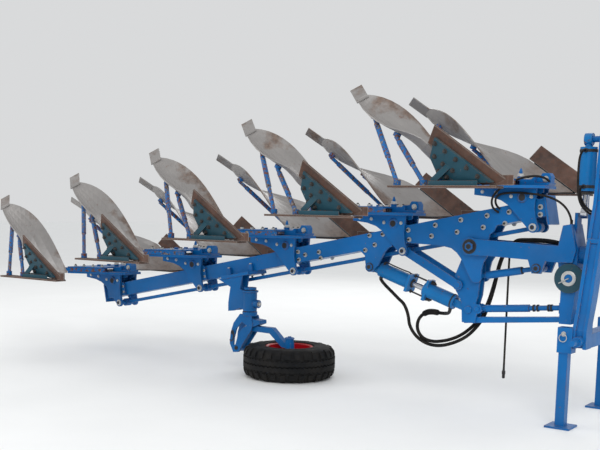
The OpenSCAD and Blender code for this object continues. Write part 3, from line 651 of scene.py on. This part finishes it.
# Nodes that aren't in the frame's paint
NODE_FINISHES = {
    "stop_disc": "frog_paint_and_shade",
    "tyre": "tyre_rubber",
    "wheel_rim": "rim_paint",
    "turn_barrel": "cylinder_paint",
    "cylinder_rear": "cylinder_paint",
    "cylinder_front": "cylinder_paint",
    "turn_rod": "rod_steel",
}
CONSOLE_FINISHES = {"legs": "worn_paint", "shares": "share_steel", "frogs": "frog_paint_and_shade"}


class PLOUGH_OT_finishes(bpy.types.Operator):
    """Makes the finishes and gives each CAD node its own"""

    bl_idname = "plough.finishes"
    bl_label = "Finishes"

    def execute(self, context):
        c, s = colours(), sizes()
        paint("frame_paint", c.frame, s.wear, s.dust)
        paint("worn_paint", c.frame, s.wear * 4, s.dust)
        paint("cylinder_paint", c.cylinder, s.wear * 1.4, s.dust * 0.6)
        # The frogs' teal paint is darkened as painted shade under the boards; the stop disc takes the same
        # darkened paint
        paint("frog_paint_and_shade", c.frog, s.wear * 1.3, s.dust * 1.2, 0.5)
        paint("rim_paint", c.rim, s.wear * 0.7, s.dust * 0.8)
        rusted_steel("share_steel", c.share, SHARE_DARK, 0.8)
        rusted_steel("dark_steel", DARK_STEEL, DARK_STEEL_DEEP, 0.12)
        bright_steel("rod_steel", ROD_STEEL, 0.18)
        bright_steel("bolt_zinc", ZINC, 0.45)
        rubber("tyre_rubber", TYRE_BLACK, 0.08)
        rubber("hose_rubber", HOSE_BLACK, 0.2)
        for node in NODES:
            dress(node, NODE_FINISHES.get(node, "frame_paint"))
        for i in CONSOLES:
            scoured_steel(f"board_steel_{i}", c.board_light, c.board_brown, console_pivot(i))
            dress(f"boards_{i}", f"board_steel_{i}")
            for group, name in CONSOLE_FINISHES.items():
                dress(f"{group}_{i}", name)
        return {"FINISHED"}


# Tyre, as (radius, height) pairs: half its section from the bead to the tread, and the shoulder blocks
CARCASS = (
    (0.1815, 0.103), (0.1965, 0.107), (0.1970, 0.121), (0.204, 0.1265), (0.222, 0.1275), (0.240, 0.1275),
    (0.243, 0.1298), (0.250, 0.1298), (0.253, 0.1275), (0.290, 0.1265), (0.318, 0.121), (0.338, 0.107),
    (0.350, 0.086), (0.3565, 0.062), (0.358, 0.030),
)
SHOULDER = ((0.326, 0.1165), (0.340, 0.104), (0.351, 0.084), (0.357, 0.060))
TREAD_RADIUS = 0.3695
TREAD_FLOOR = 0.354
LUG_ROOT = 0.004
# Share of the pitch that a block takes, and the taper of its flanks in radians
LUG_SHARE = 0.62
LUG_TAPER = 0.006
RIBS = ((0.004, 0.046), (-0.046, -0.004))
RIB_SWING = 0.0035
RIB_CHAMFER = 0.002
# Rim's nuts, and the valve from the wheel's centre in metres
WHEEL_NUTS = 6
NUT_CIRCLE = 0.085
RIM_FACE = 0.0003
VALVE = ((0.140, 0.0, -0.022), (0.146, 0.0, 0.010), (0.150, 0.0, 0.034))
VALVE_RADIUS = 0.005


def tread_lug(shape, profile, start, stop, height):
    """One block of the shoulder, standing on the carcass profile between two angles."""
    rings = []
    for k, (r, z) in enumerate(profile):
        before, after = profile[max(k - 1, 0)], profile[min(k + 1, len(profile) - 1)]
        out = Vector((abs(before[1] - after[1]), (after[0] - before[0]) * math.copysign(1, z))).normalized()
        lift = height * (0.55 if k == 0 else 1.0)
        top = (stop - LUG_TAPER, (start + stop) / 2, start + LUG_TAPER)
        ring = []
        for deep, angles in ((-LUG_ROOT, (start, stop)), (lift, top)):
            rr, zz = min(r + out.x * deep, TREAD_RADIUS), z + out.y * deep
            ring += [Vector((rr * math.cos(a), rr * math.sin(a), zz)) for a in angles]
        rings.append(ring)
    shape.skin(rings)


def zigzag_rib(shape, low, high, waves):
    """A rib round the tread, whose edges run in zigzag."""
    section = ((TREAD_FLOOR, low), (TREAD_RADIUS, low + RIB_CHAMFER),
               (TREAD_RADIUS, high - RIB_CHAMFER), (TREAD_FLOOR, high))
    rings = []
    for k in range(waves * 4):
        a = math.tau * k / (waves * 4)
        shift = RIB_SWING * (1 if k % 4 < 2 else -1)
        rings.append([Vector((r * math.cos(a), r * math.sin(a), z + shift)) for r, z in section])
    shape.skin(rings, closed=True)


class PLOUGH_OT_tyre(bpy.types.Operator):
    """Models the depth wheel's tyre with shoulder blocks and zigzag ribs, its nuts and valve"""

    bl_idname = "plough.tyre"
    bl_label = "Tyre"

    def tread(self, count, height):
        shape = Shape()
        shape.turned([*CARCASS, *[(r, -z) for r, z in reversed(CARCASS)]], (0, 0, 0), UP, 96, closed=True)
        step = math.tau / count
        for side in (1, -1):
            for k in range(count):
                start = (k + (0.5 if side < 0 else 0)) * step
                # Long and short blocks by turns
                profile = [(r, side * z) for r, z in SHOULDER[(k % 2):]]
                tread_lug(shape, profile, start, start + step * LUG_SHARE, height)
        for low, high in RIBS:
            zigzag_rib(shape, low, high, count * 2)
        return shape

    def nuts(self):
        shape = Shape()
        for k in range(WHEEL_NUTS):
            a = math.tau * k / WHEEL_NUTS
            place = Vector((NUT_CIRCLE * math.cos(a), NUT_CIRCLE * math.sin(a), RIM_FACE))
            shape.bolt(WHEEL_CENTRE + place, UP, *WHEEL_NUT)
        shape.swept(smooth_path([WHEEL_CENTRE + Vector(p) for p in VALVE], 0.008), VALVE_RADIUS)
        return shape

    def execute(self, context):
        s = sizes()
        tread = self.tread(s.lug_count, s.lug_height)
        tyre = piece("tread_tyre", tread, "tyre_rubber", "wheel", 30, WHEEL_CENTRE)
        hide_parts("tyre")
        piece("wheel_nuts", self.nuts(), "bolt_zinc dark_steel", "wheel")
        return {"FINISHED"}


# Outer faces of the side plates, the consoles' cheeks and the carrier's arms
PLATE_FACE = 80
CHEEK_FACE = 105.5
ARM_FACE = 110.5
# Bolts through the frame's side plates: console that they are measured from, forward, up
PLATE_BOLTS = (
    (1, -869, -244), (1, -858, -313), (1, -651, -203), (1, -678, -281), (1, -454, -161), (1, -479, -246),
    (1, -258, -127), (1, -282, -208), (1, -99, -99), (1, -125, -178), (1, 122, -112), (1, 120, -62),
    (1, -1195, -294), (1, -1081, -281), (1, -1147, -362), (1, -1228, -405),
    (3, 111, -46), (3, 122, -108), (3, 181, -66), (3, 311, -39), (3, 330, -86),
)
# Smaller bolts of the rear ears, clear of the cheeks that turn beside them
EAR_BOLTS = ((4, 109, -48), (4, 116, -98), (5, 109, -48), (5, 116, -98))
EAR_BOLT_SHARE = 0.66
# Height, washer's radius and thread's end of these bolts, as shares of their corner radius
BOLT_SHARES = (0.72, 1.2, 0.5)
# Clamp of the wheel's bracket: along the beam, beside it, and how far below its line the nuts and heads lie
CLAMP_ALONG = (-2632, -2398)
CLAMP_SIDE = (-74, 74)
CLAMP_FOOT = 177.2
CLAMP_TOP = 90.8
# Pins with a washer and a nut: forward, up, outer face; washer's radius, nut's radius, nut's height
PIN_NUTS = {
    "beam": ((-1187, -529, PLATE_FACE, 0.032, 0.028, 0.008),),
    "carrier": ((-367, -343, ARM_FACE, 0.052, 0.032, 0.011), (124, -470, ARM_FACE, 0.032, 0.027, 0.007)),
}
PIN_WASHER = 0.004
PIN_THREAD = 0.006
# Consoles, from their own pivot: the control rod's pin, the cheeks' bolts and the legs' bolts on the shelf
ROD_PIN = (82, -198)
ROD_WASHER = (0.027, 0.004)
CHEEK_BOLTS = ((-81, 6), (62, 5), (-290, 36), (-190, 30))
LEG_START = (-44, 150)
LEG_WAY = (-0.866, 0.5)
LEG_BOLTS = (34, 120, 205, 285)
SHELF_TOP = 122.2
SHELF_PIN_PLACE = (128, 33.5, 124)
SHELF_BOLT_PLACE = (-62, 0, 142.2)
CAP_RIM = ((0.037, 0), (0.037, 0.004), (0.033, 0.006), (0.033, 0.009), (0.030, 0.0115), (0.025, 0.0115),
           (0.024, 0.0108))
# Middle of the cap: a flat dark steel disc, as painted shade of the hole in the cap's middle
CAP_HOLE_SHADE = ((0.0235, 0.0100), (0.0235, 0.0112), (0, 0.0112))
# Nuts on the share's back: along its edge and behind it, from its tip, in its own slanting plane
SHARE_BOLTS = ((230, -92), (320, -92), (410, -92), (500, -92), (585, -92), (400, -170), (480, -176),
               (555, -170), (420, -236), (490, -240))
SHARE_ANGLE = math.radians(34.4)
SHARE_RISE = math.radians(24)
SHARE_TIP = (262, -900, 50)
SHARE_BACK = -16.2


def on_share(console, side, along, behind, above):
    """A place in the share's own plane, near side -1 or far side 1."""
    plane = Matrix.Rotation(SHARE_ANGLE, 3, "Z") @ Matrix.Rotation(-SHARE_RISE, 3, "X")
    flat = plane @ Vector((along, behind, above))
    x, y, z = SHARE_TIP[0] - flat.x, SHARE_TIP[1] + flat.z, SHARE_TIP[2] + flat.y
    return beside(console_pivot(console), x, -side * y, z)


class PLOUGH_OT_fasteners(bpy.types.Operator):
    """Models the bolts, nuts and washers of the frame and the consoles"""

    bl_idname = "plough.fasteners"
    bl_label = "Fasteners"

    def beam_bolts(self, radius):
        shape = Shape()
        for table, r in ((PLATE_BOLTS, radius), (EAR_BOLTS, radius * EAR_BOLT_SHARE)):
            for console, x, z in table:
                for s in SIDES:
                    place = beside(console_pivot(console), x, s * (PLATE_FACE + CLEAR), z)
                    shape.bolt(place, (0, s, 0), r, *[r * share for share in BOLT_SHARES])
        for along in CLAMP_ALONG:
            for side in CLAMP_SIDE:
                shape.bolt(on_beam(along, CLAMP_FOOT, side), BEAM_DOWN, *CLAMP_NUT)
                shape.bolt(on_beam(along, CLAMP_TOP, side), -BEAM_DOWN, *CLAMP_HEAD)
        return shape

    def pin_nuts(self, pins):
        shape = Shape()
        for x, z, face, washer, nut, height in pins:
            for s in SIDES:
                place = at(x, s * (face + CLEAR), z)
                shape.tint = 1
                shape.disc(place, (0, s, 0), washer, PIN_WASHER)
                shape.tint = 0
                shape.bolt(place + Vector((0, s * PIN_WASHER, 0)), (0, s, 0), nut, height, 0, PIN_THREAD)
        return shape

    def share_nuts(self, console):
        shape = Shape()
        for s in SIDES:
            for along, behind in SHARE_BOLTS:
                seat = on_share(console, s, along, behind, SHARE_BACK)
                down = on_share(console, s, along, behind, SHARE_BACK - 10) - seat
                shape.bolt(seat, down, *SHARE_NUT)
        return shape

    def console_bolts(self, pivot):
        shape = Shape()
        for s in SIDES:
            face = s * (CHEEK_FACE + CLEAR)
            x, z = ROD_PIN
            place = beside(pivot, x, face, z)
            shape.disc(place, (0, s, 0), *ROD_WASHER)
            shape.bolt(place + Vector((0, s * ROD_WASHER[1], 0)), (0, s, 0), *ROD_NUT)
            for x, z in CHEEK_BOLTS:
                shape.bolt(beside(pivot, x, face, z), (0, s, 0), *CHEEK_BOLT)
            for along in LEG_BOLTS:
                x, y = LEG_START[0] + LEG_WAY[0] * along, LEG_START[1] + LEG_WAY[1] * along
                shape.bolt(beside(pivot, x, s * y, SHELF_TOP), UP, *LEG_BOLT)
            x, y, z = SHELF_PIN_PLACE
            shape.bolt(beside(pivot, x, s * y, z), (0, s, 0), *SHELF_PIN)
        shape.bolt(beside(pivot, *SHELF_BOLT_PLACE), UP, *SHELF_BOLT)
        return shape

    def pivot_caps(self, pivot):
        shape = Shape()
        for s in SIDES:
            place = beside(pivot, 0, s * (CHEEK_FACE + CLEAR), 0)
            shape.turned(CAP_RIM, place, (0, s, 0), 32)
            # The middle takes dark steel, as painted shade of the cap's hole
            shape.tint = 1
            shape.turned(CAP_HOLE_SHADE, place, (0, s, 0), 32)
            shape.tint = 0
        return shape

    def execute(self, context):
        bolts = self.beam_bolts(sizes().bolt_radius)
        piece("beam_bolts", bolts, "bolt_zinc dark_steel", "beam")
        for body, pins in PIN_NUTS.items():
            piece(f"{body}_nuts", self.pin_nuts(pins), "frame_paint dark_steel", body)
        for i in CONSOLES:
            body, pivot = f"console_{i}", console_pivot(i)
            piece(f"share_nuts_{i}", self.share_nuts(i), "dark_steel dark_steel", body)
            piece(f"{body}_bolts", self.console_bolts(pivot), "bolt_zinc dark_steel", body)
            piece(f"{body}_caps", self.pivot_caps(pivot), "frame_paint dark_steel", body)
        return {"FINISHED"}


# Width cylinders: places along their axis from the lug, and how far out the stop rods lie
PISTON_START = 244
REAR_GLAND = 344.2
STOP_ROD_START = 300
STOP_ROD_HEADS = 469.8
STOP_ROD_NUTS = 492.2
FRONT_HEAD = 690
STOP_ROD_OUT = (-61, 61)
PISTON = ((0.02225, 0.0), (0.02235, 0.002), (0.02235, 0.224), (0.02225, 0.2255))
STOP_ROD_RADIUS = 0.0064
THREAD_CORE = 0.0058
THREAD_LENGTH = 0.13
THREAD_TURNS = 46
GLAND_NUT = ((0.009, 0), (0.014, 0), (0.014, 0.010), (0.009, 0.012))
GLAND_RING = ((0.030, 0), (0.034, 0), (0.034, 0.006), (0.027, 0.009), (0.0238, 0.009))
# Pipe along the rear cylinder, between its two unions: along, out, side
PIPE = ((84, -50, -18), (84, -66, -18), (96, -70, -18), (160, -68, -18), (250, -68, -18), (300, -70, -18),
        (314, -64, -18), (318, -50, -18))
PIPE_RADIUS = 0.005
# The pipe's unions and the port: along, out, side, which way they point, radius, height
REAR_UNIONS = ((84, -46, -18, -1, 0.010, 0.016), (316, -46, -18, -1, 0.010, 0.014),
               (84, 50, -10, 1, 0.014, 0.018))
FRONT_PORT = (690, 50, 8)
PORT = (0.014, 0.020)
HEAD_RING = ((0.054, 0), (0.0565, 0.002), (0.0565, 0.010), (0.054, 0.012))
# Elbow where the front hose leaves the front cylinder
ELBOW = ((-551, 8, -800), (-553, 8, -816), (-558, 8, -829), (-568, 8, -836), (-590, 8, -838))
ELBOW_RADIUS = 0.0125
# Turnover cylinder: its axis, its gland, and its ports' heights and distance from the axis
TURN_AXIS = (395, 0)
TURN_GLAND_FOOT = 45
TURN_PORTS = (74, 306)
TURN_PORT_OUT = 52
TURN_GLAND = ((0.0235, 0), (0.040, 0), (0.048, -0.006), (0.048, -0.016), (0.036, -0.022), (0.0235, -0.022))
PORT_BAND = ((0.055, -0.010), (0.058, -0.008), (0.058, 0.008), (0.055, 0.010))


class PLOUGH_OT_cylinders(bpy.types.Operator):
    """Models the width cylinders' stop rods, piston, ports and pipe, and the turnover cylinder's gland"""

    bl_idname = "plough.cylinders"
    bl_label = "Cylinders"

    def piston(self):
        shape = Shape()
        shape.turned(PISTON, on_cylinder(PISTON_START, 0), CYLINDER_WAY, 32)
        return shape

    def stop_rods(self):
        shape = Shape()
        thread = [(STOP_ROD_RADIUS if k % 2 else THREAD_CORE, 0.002 + THREAD_LENGTH * k / THREAD_TURNS)
                  for k in range(THREAD_TURNS)]
        rod = [(0.005, 0), *thread, (STOP_ROD_RADIUS, 0.134), (STOP_ROD_RADIUS, 0.230), (0.005, 0.232)]
        for out in STOP_ROD_OUT:
            shape.turned(rod, on_cylinder(STOP_ROD_START, out), CYLINDER_WAY, 12)
            shape.bolt(on_cylinder(STOP_ROD_HEADS, out), -CYLINDER_WAY, *STOP_ROD_HEAD)
            shape.bolt(on_cylinder(STOP_ROD_NUTS, out), CYLINDER_WAY, *STOP_ROD_NUT)
        return shape

    def rear_fittings(self):
        shape = Shape()
        for out in STOP_ROD_OUT:
            shape.turned(GLAND_NUT, on_cylinder(REAR_GLAND, out), CYLINDER_WAY, 6)
        shape.turned(GLAND_RING, on_cylinder(REAR_GLAND, 0), CYLINDER_WAY, 32)
        shape.swept(smooth_path([on_cylinder(*p) for p in PIPE], 0.008), PIPE_RADIUS, 10)
        for along, out, side, way, radius, height in REAR_UNIONS:
            shape.disc(on_cylinder(along, out, side), CYLINDER_OUT * way, radius, height)
        return shape

    def front_fittings(self):
        shape = Shape()
        shape.disc(on_cylinder(*FRONT_PORT), CYLINDER_OUT, *PORT)
        shape.turned(HEAD_RING, on_cylinder(FRONT_HEAD, 0), CYLINDER_WAY, 40)
        shape.swept(smooth_path([at(*p) for p in ELBOW], 0.006), ELBOW_RADIUS, 16)
        return shape

    def turn_gland(self):
        shape = Shape()
        x, y = TURN_AXIS
        shape.turned(TURN_GLAND, at(x, y, TURN_GLAND_FOOT), UP, 32)
        for z in TURN_PORTS:
            shape.disc(at(x, y - TURN_PORT_OUT, z), NEAR, *PORT)
            shape.turned(PORT_BAND, at(x, y, z), UP, 40)
        return shape

    def execute(self, context):
        piece("piston", self.piston(), "rod_steel", "width_cylinder_front")
        piece("stop_rods", self.stop_rods(), "dark_steel", "width_cylinder_front")
        piece("rear_fittings", self.rear_fittings(), "dark_steel", "width_cylinder")
        piece("front_fittings", self.front_fittings(), "dark_steel", "width_cylinder_front")
        piece("turn_gland", self.turn_gland(), "dark_steel", "turn_cylinder")
        return {"FINISHED"}


# Hoses: points of each route
LOOP_REAR = (
    (-1129, -10, -618), (-1108, -12, -642), (-1076, -13, -670), (-1040, -12, -699), (-1004, -10, -729),
    (-966, -7, -761), (-928, -4, -792), (-902, 1, -840), (-888, 7, -892), (-881, 14, -945),
    (-855, 22, -998), (-813, 31, -1043), (-755, 41, -1075), (-690, 48, -1088), (-620, 54, -1082),
    (-555, 58, -1062), (-495, 61, -1035), (-437, 63, -998), (-388, 64, -952), (-344, 64, -898),
    (-308, 63, -838), (-281, 61, -770), (-259, 59, -700), (-240, 56, -630), (-224, 53, -560),
    (-208, 50, -490), (-186, 48, -420), (-154, 48, -360), (-110, 48, -318), (-58, 48, -294),
    (10, 48, -285), (90, 48, -284), (170, 48, -290), (235, 48, -303), (280, 48, -314),
)
LOOP_FRONT = (
    (-568, 8, -837), (-600, 8, -840), (-640, 9, -839), (-685, 11, -836), (-730, 14, -841),
    (-770, 17, -860), (-803, 22, -892), (-821, 28, -933), (-822, 34, -978), (-803, 42, -1020),
    (-763, 52, -1050), (-702, 64, -1062), (-638, 75, -1054), (-575, 81, -1036), (-515, 84, -1009),
    (-461, 86, -974), (-411, 87, -930), (-366, 87, -880), (-328, 87, -820), (-298, 86, -755),
    (-275, 84, -690), (-256, 81, -625), (-238, 77, -560), (-222, 73, -490), (-202, 71, -425),
    (-170, 71, -366), (-126, 71, -324), (-72, 71, -301), (0, 71, -293), (90, 71, -292), (170, 71, -298),
    (235, 71, -309), (279, 71, -320),
)
HANGING = (
    (283, 26, -296), (236, 26, -294), (170, 26, -288), (100, 26, -284), (30, 26, -281), (-30, 26, -281),
    (-72, 27, -287), (-102, 30, -306), (-120, 33, -338), (-127, 36, -380), (-129, 37, -430),
    (-130, 38, -500), (-130, 38, -600), (-130, 38, -700), (-130, 38, -800), (-130, 38, -900),
    (-130, 38, -1000), (-130, 38, -1100), (-130, 38, -1196),
)
OVER = (
    (-166, -84, -80), (-180, -101, -60), (-186, -116, -34), (-179, -127, -8), (-158, -133, 12),
    (-128, -134, 23), (-85, -134, 28), (-35, -134, 30), (15, -133, 28), (66, -132, 24), (118, -129, 18),
    (170, -121, 8), (219, -108, -9), (261, -90, -35), (292, -69, -70), (310, -50, -110), (318, -37, -148),
    (319, -32, -176),
)
CONSOLE_HOSE = (
    (-172, -84, -104), (-190, -99, -90), (-204, -116, -68), (-208, -129, -38), (-200, -137, -6),
    (-181, -140, 24), (-152, -140, 52), (-114, -139, 77), (-74, -138, 98), (-32, -136, 116),
    (10, -132, 130), (52, -124, 138), (92, -111, 140), (126, -94, 134), (150, -76, 122), (166, -60, 106),
)
TOWER_LOW = (
    (395, -74, 74), (395, -98, 72), (396, -122, 62), (400, -141, 42), (407, -152, 16), (418, -154, -14),
    (434, -150, -44), (456, -141, -70), (478, -130, -86), (499, -118, -93),
)
TOWER_HIGH = (
    (395, -74, 306), (394, -98, 304), (392, -122, 293), (390, -142, 272), (389, -155, 242),
    (389, -162, 205), (390, -166, 158), (392, -168, 105), (396, -169, 50), (404, -169, 0),
    (420, -167, -42), (446, -162, -76), (474, -156, -98), (499, -148, -108),
)
# Two bodies that a hose passes between, and the line along which it bends from one to the other
BLOCK_TO_LUG = (("carrier", "beam"), BLOCK, (-1100, 0, -557))
CARRIER_TO_BEAM = (("carrier", "beam"), (250, 0, 0), (-50, 0, 0))
BEAM_TO_CONSOLE = (("beam", "console_1"), (-170, 0, -60), (100, 0, 60))
HEADSTOCK_TO_BARREL = (("headstock", "turn_cylinder"), (470, -130, -70), (395, -110, 60))
# Points of the front hose that the sleeve covers, and its radius in hose radii along it and at its ends
SLEEVED = slice(2, 6)
SLEEVE_WRAP = 1.75
SLEEVE_END = 1.3
# Ferrule, with radii as shares of the hose's radius
FERRULE = ((0.9, 0), (1.28, 0.002), (1.28, 0.030), (1.1, 0.034), (0.9, 0.034))
FERRULE_WAY = (-1, 0, 0.15)
COUPLER_TOP = (-130, 38, -1195)
COUPLER = ((0.004, 0.002), (0.0085, 0), (0.0085, -0.016), (0.0125, -0.018), (0.0125, -0.040),
           (0.0105, -0.043), (0.0105, -0.066), (0.007, -0.071), (0, -0.071))


class PLOUGH_OT_hoses(bpy.types.Operator):
    """Lays the hydraulic hoses with their sleeve, fittings and coupler"""

    bl_idname = "plough.hoses"
    bl_label = "Hoses"

    def tube(self, name, path, radius, sides, held):
        """Rubber tube on a body, or fixed in place where it passes between two."""
        shape = Shape()
        shape.swept(path, radius, sides)
        obj = new_object(name, shape.done(name, 50), "hose_rubber")
        if isinstance(held, str):
            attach(obj, held)
        else:
            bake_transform(obj)
        return obj

    def hose(self, name, points, radius, far_end, held, pieces=()):
        path = smooth_path([at(*p) for p in points], radius * 1.6)
        obj = self.tube(name, path, radius, 12, held)

    def sleeve(self, radius):
        """Wrap that keeps the front hose from chafing."""
        def wrap(share):
            return radius * (SLEEVE_WRAP if 0.04 < share < 0.96 else SLEEVE_END)

        path = smooth_path([at(*p) for p in LOOP_FRONT[SLEEVED]], 0.012)
        return self.tube("hose_sleeve", path, wrap, 16, BLOCK_TO_LUG)

    def fittings(self, thick, thin):
        """Ferrules where the hoses end on the carrier."""
        shape = Shape()
        for place, way, r in ((LOOP_REAR[-1], FERRULE_WAY, thick), (LOOP_FRONT[-1], FERRULE_WAY, thick),
                              (HANGING[0], FERRULE_WAY, thin), (OVER[-1], UP, thin)):
            shape.turned([(r * wide, high) for wide, high in FERRULE], at(*place), way, 20)
        return shape

    def coupler(self):
        shape = Shape()
        shape.turned(COUPLER, at(*COUPLER_TOP), UP, 24)
        return shape

    def execute(self, context):
        thick, thin = sizes().hose_radius, sizes().thin_hose_radius
        piece("carrier_fittings", self.fittings(thick, thin), "dark_steel", "carrier")
        tip = piece("coupler", self.coupler(), "dark_steel", "carrier")
        self.hose("hose_rear", LOOP_REAR, thick, "object", BLOCK_TO_LUG)
        self.hose("hose_front", LOOP_FRONT, thick, "object", BLOCK_TO_LUG, [self.sleeve(thick)])
        self.hose("hose_hanging", HANGING, thin, "connector", "carrier", [tip])
        self.hose("hose_over", OVER, thin, "object", CARRIER_TO_BEAM)
        self.hose("hose_console", CONSOLE_HOSE, thin, "object", BEAM_TO_CONSOLE)
        self.hose("hose_tower_1", TOWER_LOW, thin, "object", HEADSTOCK_TO_BARREL)
        self.hose("hose_tower_2", TOWER_HIGH, thin, "object", HEADSTOCK_TO_BARREL)
        return {"FINISHED"}


# Depth wheel's hub: sleeve from the wheel's centre, and the cap on its top
HUB_SLEEVE = ((0.0352, 0.050), (0.048, 0.050), (0.048, 0.090), (0.043, 0.097), (0.0352, 0.097))
HUB_TOP = 176.2
HUB_CAP = ((0.040, 0), (0.040, 0.006), (0.032, 0.012), (0.014, 0.012), (0.014, 0.020), (0.0, 0.022))
# Stop disc's hub, with the small lever on it
DISC_HUB = (345, -103.6, -525)
DISC_RING = ((0.028, 0), (0.050, 0), (0.050, 0.004), (0.047, 0.006), (0.028, 0.006))
DISC_CAP = ((0.0275, 0), (0.0275, 0.004), (0.020, 0.007), (0, 0.008))
DISC_LEVER = ((-62, -11, -34), (4, -11, 2))
DISC_LEVER_RADIUS = 0.0042
# Collars on the spindle and the turnbuckle: the rod's two ends, and the collars' distances along it
COLLAR = ((0.0208, 0), (0.026, 0.001), (0.026, 0.012), (0.0208, 0.013))
COLLARS = (
    ((-345, 0, -556), (124, 0, -470), (300, 328)),
    ((-318, 0, -783), (276, 0, -731), (396, 424, 500, 520)),
)
# Wheel's arm: its stop bolt, the hook with its points from its root, and the bolts of its pivot
STOP_BOLT_PLACE = (-2218, -100, -888)
HOOK_ROOT = (-2446, -154.2, -1140)
HOOK = ((0, -6, 0), (2, -16, 14), (12, -20, 22), (24, -20, 12), (26, -20, -20), (18, -19, -52), (2, -19, -66),
        (-14, -18, -58))
HOOK_RADIUS = 0.005
ARM_PIVOT = (-2405, -100, -1262)
ARM_HALF_WIDTH = 47.2
# Stands: the pin with its pull ring
STAND_PIN_PLACE = (450, 440.2, -850)
PULL_RING = 0.024
PULL_RING_WIRE = 0.003
PULL_RING_OUT = 0.013
RING_SIDES = 24
# Headstock's rear face: its bolts beside the bearing, and the bearing's circle of bolts
TOWER_FACE = 499.8
TOWER_BOLTS = ((165, -468), (225, -468), (165, -272), (225, -272))
BEARING = (TOWER_FACE, 0, -370)
BEARING_BOLTS = 12
BEARING_CIRCLE = 0.110


class PLOUGH_OT_trim(bpy.types.Operator):
    """Models the hubs, collars, stop bolt, wheel's hook, stands' pins and tower's bolts"""

    bl_idname = "plough.trim"
    bl_label = "Trim"

    def hub_sleeve(self):
        shape = Shape()
        shape.turned(HUB_SLEEVE, WHEEL_CENTRE, UP, 32)
        return shape

    def hub_cap(self):
        shape = Shape()
        shape.turned(HUB_CAP, beside(WHEEL_CENTRE, 0, 0, HUB_TOP), UP)
        return shape

    def disc_hub(self):
        shape = Shape()
        face = at(*DISC_HUB)
        shape.turned(DISC_RING, face, NEAR, 36, closed=True)
        shape.swept([beside(face, *p) for p in DISC_LEVER], DISC_LEVER_RADIUS, 10)
        shape.tint = 1
        shape.turned(DISC_CAP, face, NEAR, 28)
        return shape

    def link_collars(self):
        shape = Shape()
        for start, stop, distances in COLLARS:
            way = at(*stop) - at(*start)
            for distance in distances:
                shape.turned(COLLAR, at(*start) + way.normalized() * distance / 1000, way, 8)
        return shape

    def stop_bolt(self):
        shape = Shape()
        shape.bolt(at(*STOP_BOLT_PLACE), FORWARD, *STOP_BOLT)
        return shape

    def wheel_hook(self):
        shape = Shape()
        root = at(*HOOK_ROOT)
        shape.bolt(root, NEAR, *HOOK_BOLT)
        shape.swept(smooth_path([beside(root, *p) for p in HOOK], 0.005), HOOK_RADIUS, 8)
        x, y, z = ARM_PIVOT
        for s in SIDES:
            shape.bolt(at(x, y + s * ARM_HALF_WIDTH, z), (0, s, 0), *ARM_BOLT)
        return shape

    def tower_bolts(self):
        shape = Shape()
        x, y, z = STAND_PIN_PLACE
        for s in SIDES:
            pin = at(x, s * y, z)
            shape.bolt(pin, (0, s, 0), *STAND_PIN)
            top = pin + Vector((0, s * PULL_RING_OUT, 0))
            angles = [math.tau * k / RING_SIDES for k in range(RING_SIDES)]
            ring = [top + Vector((math.sin(a), 0, math.cos(a) - 1)) * PULL_RING for a in angles]
            shape.swept(ring, PULL_RING_WIRE, 8)
        for s in SIDES:
            for y, z in TOWER_BOLTS:
                shape.bolt(at(TOWER_FACE, s * y, z), BACK, *TOWER_BOLT)
        for k in range(BEARING_BOLTS):
            a = math.tau * k / BEARING_BOLTS
            place = at(*BEARING) + Vector((0, math.cos(a), math.sin(a))) * BEARING_CIRCLE
            shape.bolt(place, BACK, *BEARING_BOLT)
        return shape

    def execute(self, context):
        piece("hub_sleeve", self.hub_sleeve(), "dark_steel", "wheel_arm")
        piece("hub_cap", self.hub_cap(), "frame_paint", "wheel_arm")
        piece("disc_hub", self.disc_hub(), "bolt_zinc frame_paint", "carrier")
        piece("link_collars", self.link_collars(), "dark_steel", "carrier")
        piece("stop_bolt", self.stop_bolt(), "bolt_zinc", "beam")
        piece("wheel_hook", self.wheel_hook(), "dark_steel", "wheel_arm")
        piece("tower_bolts", self.tower_bolts(), "bolt_zinc", "headstock")
        return {"FINISHED"}


class PLOUGH_PT_panel(bpy.types.Panel):
    """Lists the plough's pieces, sizes and colours"""

    bl_idname = "PLOUGH_PT_panel"
    bl_label = "Reversible plough"
    bl_space_type = "VIEW_3D"
    bl_region_type = "UI"
    bl_category = "Plough"

    def draw(self, context):
        for group in (colours(), sizes(), views()):
            box = self.layout.box()
            for key in group.bl_rna.properties.keys():
                if key not in ("rna_type", "name"):
                    box.prop(group, key)
        for operator in STEPS:
            self.layout.operator(operator.bl_idname)


STEPS = (PLOUGH_OT_stage, PLOUGH_OT_finishes, PLOUGH_OT_hoses, PLOUGH_OT_tyre, PLOUGH_OT_fasteners,
         PLOUGH_OT_cylinders, PLOUGH_OT_trim)
CLASSES = (PloughColours, PloughSizes, PloughView, *STEPS, PLOUGH_PT_panel)


def register():
    for cls in CLASSES:
        bpy.utils.register_class(cls)
    bpy.types.Scene.plough_colours = PointerProperty(type=PloughColours)
    bpy.types.Scene.plough_sizes = PointerProperty(type=PloughSizes)
    bpy.types.Scene.plough_view = PointerProperty(type=PloughView)


def unregister():
    del bpy.types.Scene.plough_view
    del bpy.types.Scene.plough_sizes
    del bpy.types.Scene.plough_colours
    for cls in reversed(CLASSES):
        bpy.utils.unregister_class(cls)


def main():
    register()
    bpy.ops.plough.stage()
    bpy.ops.plough.finishes()
    bpy.ops.plough.hoses()
    bpy.ops.plough.tyre()
    bpy.ops.plough.fasteners()
    bpy.ops.plough.cylinders()
    bpy.ops.plough.trim()
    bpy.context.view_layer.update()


if __name__ == "__main__":
    main()
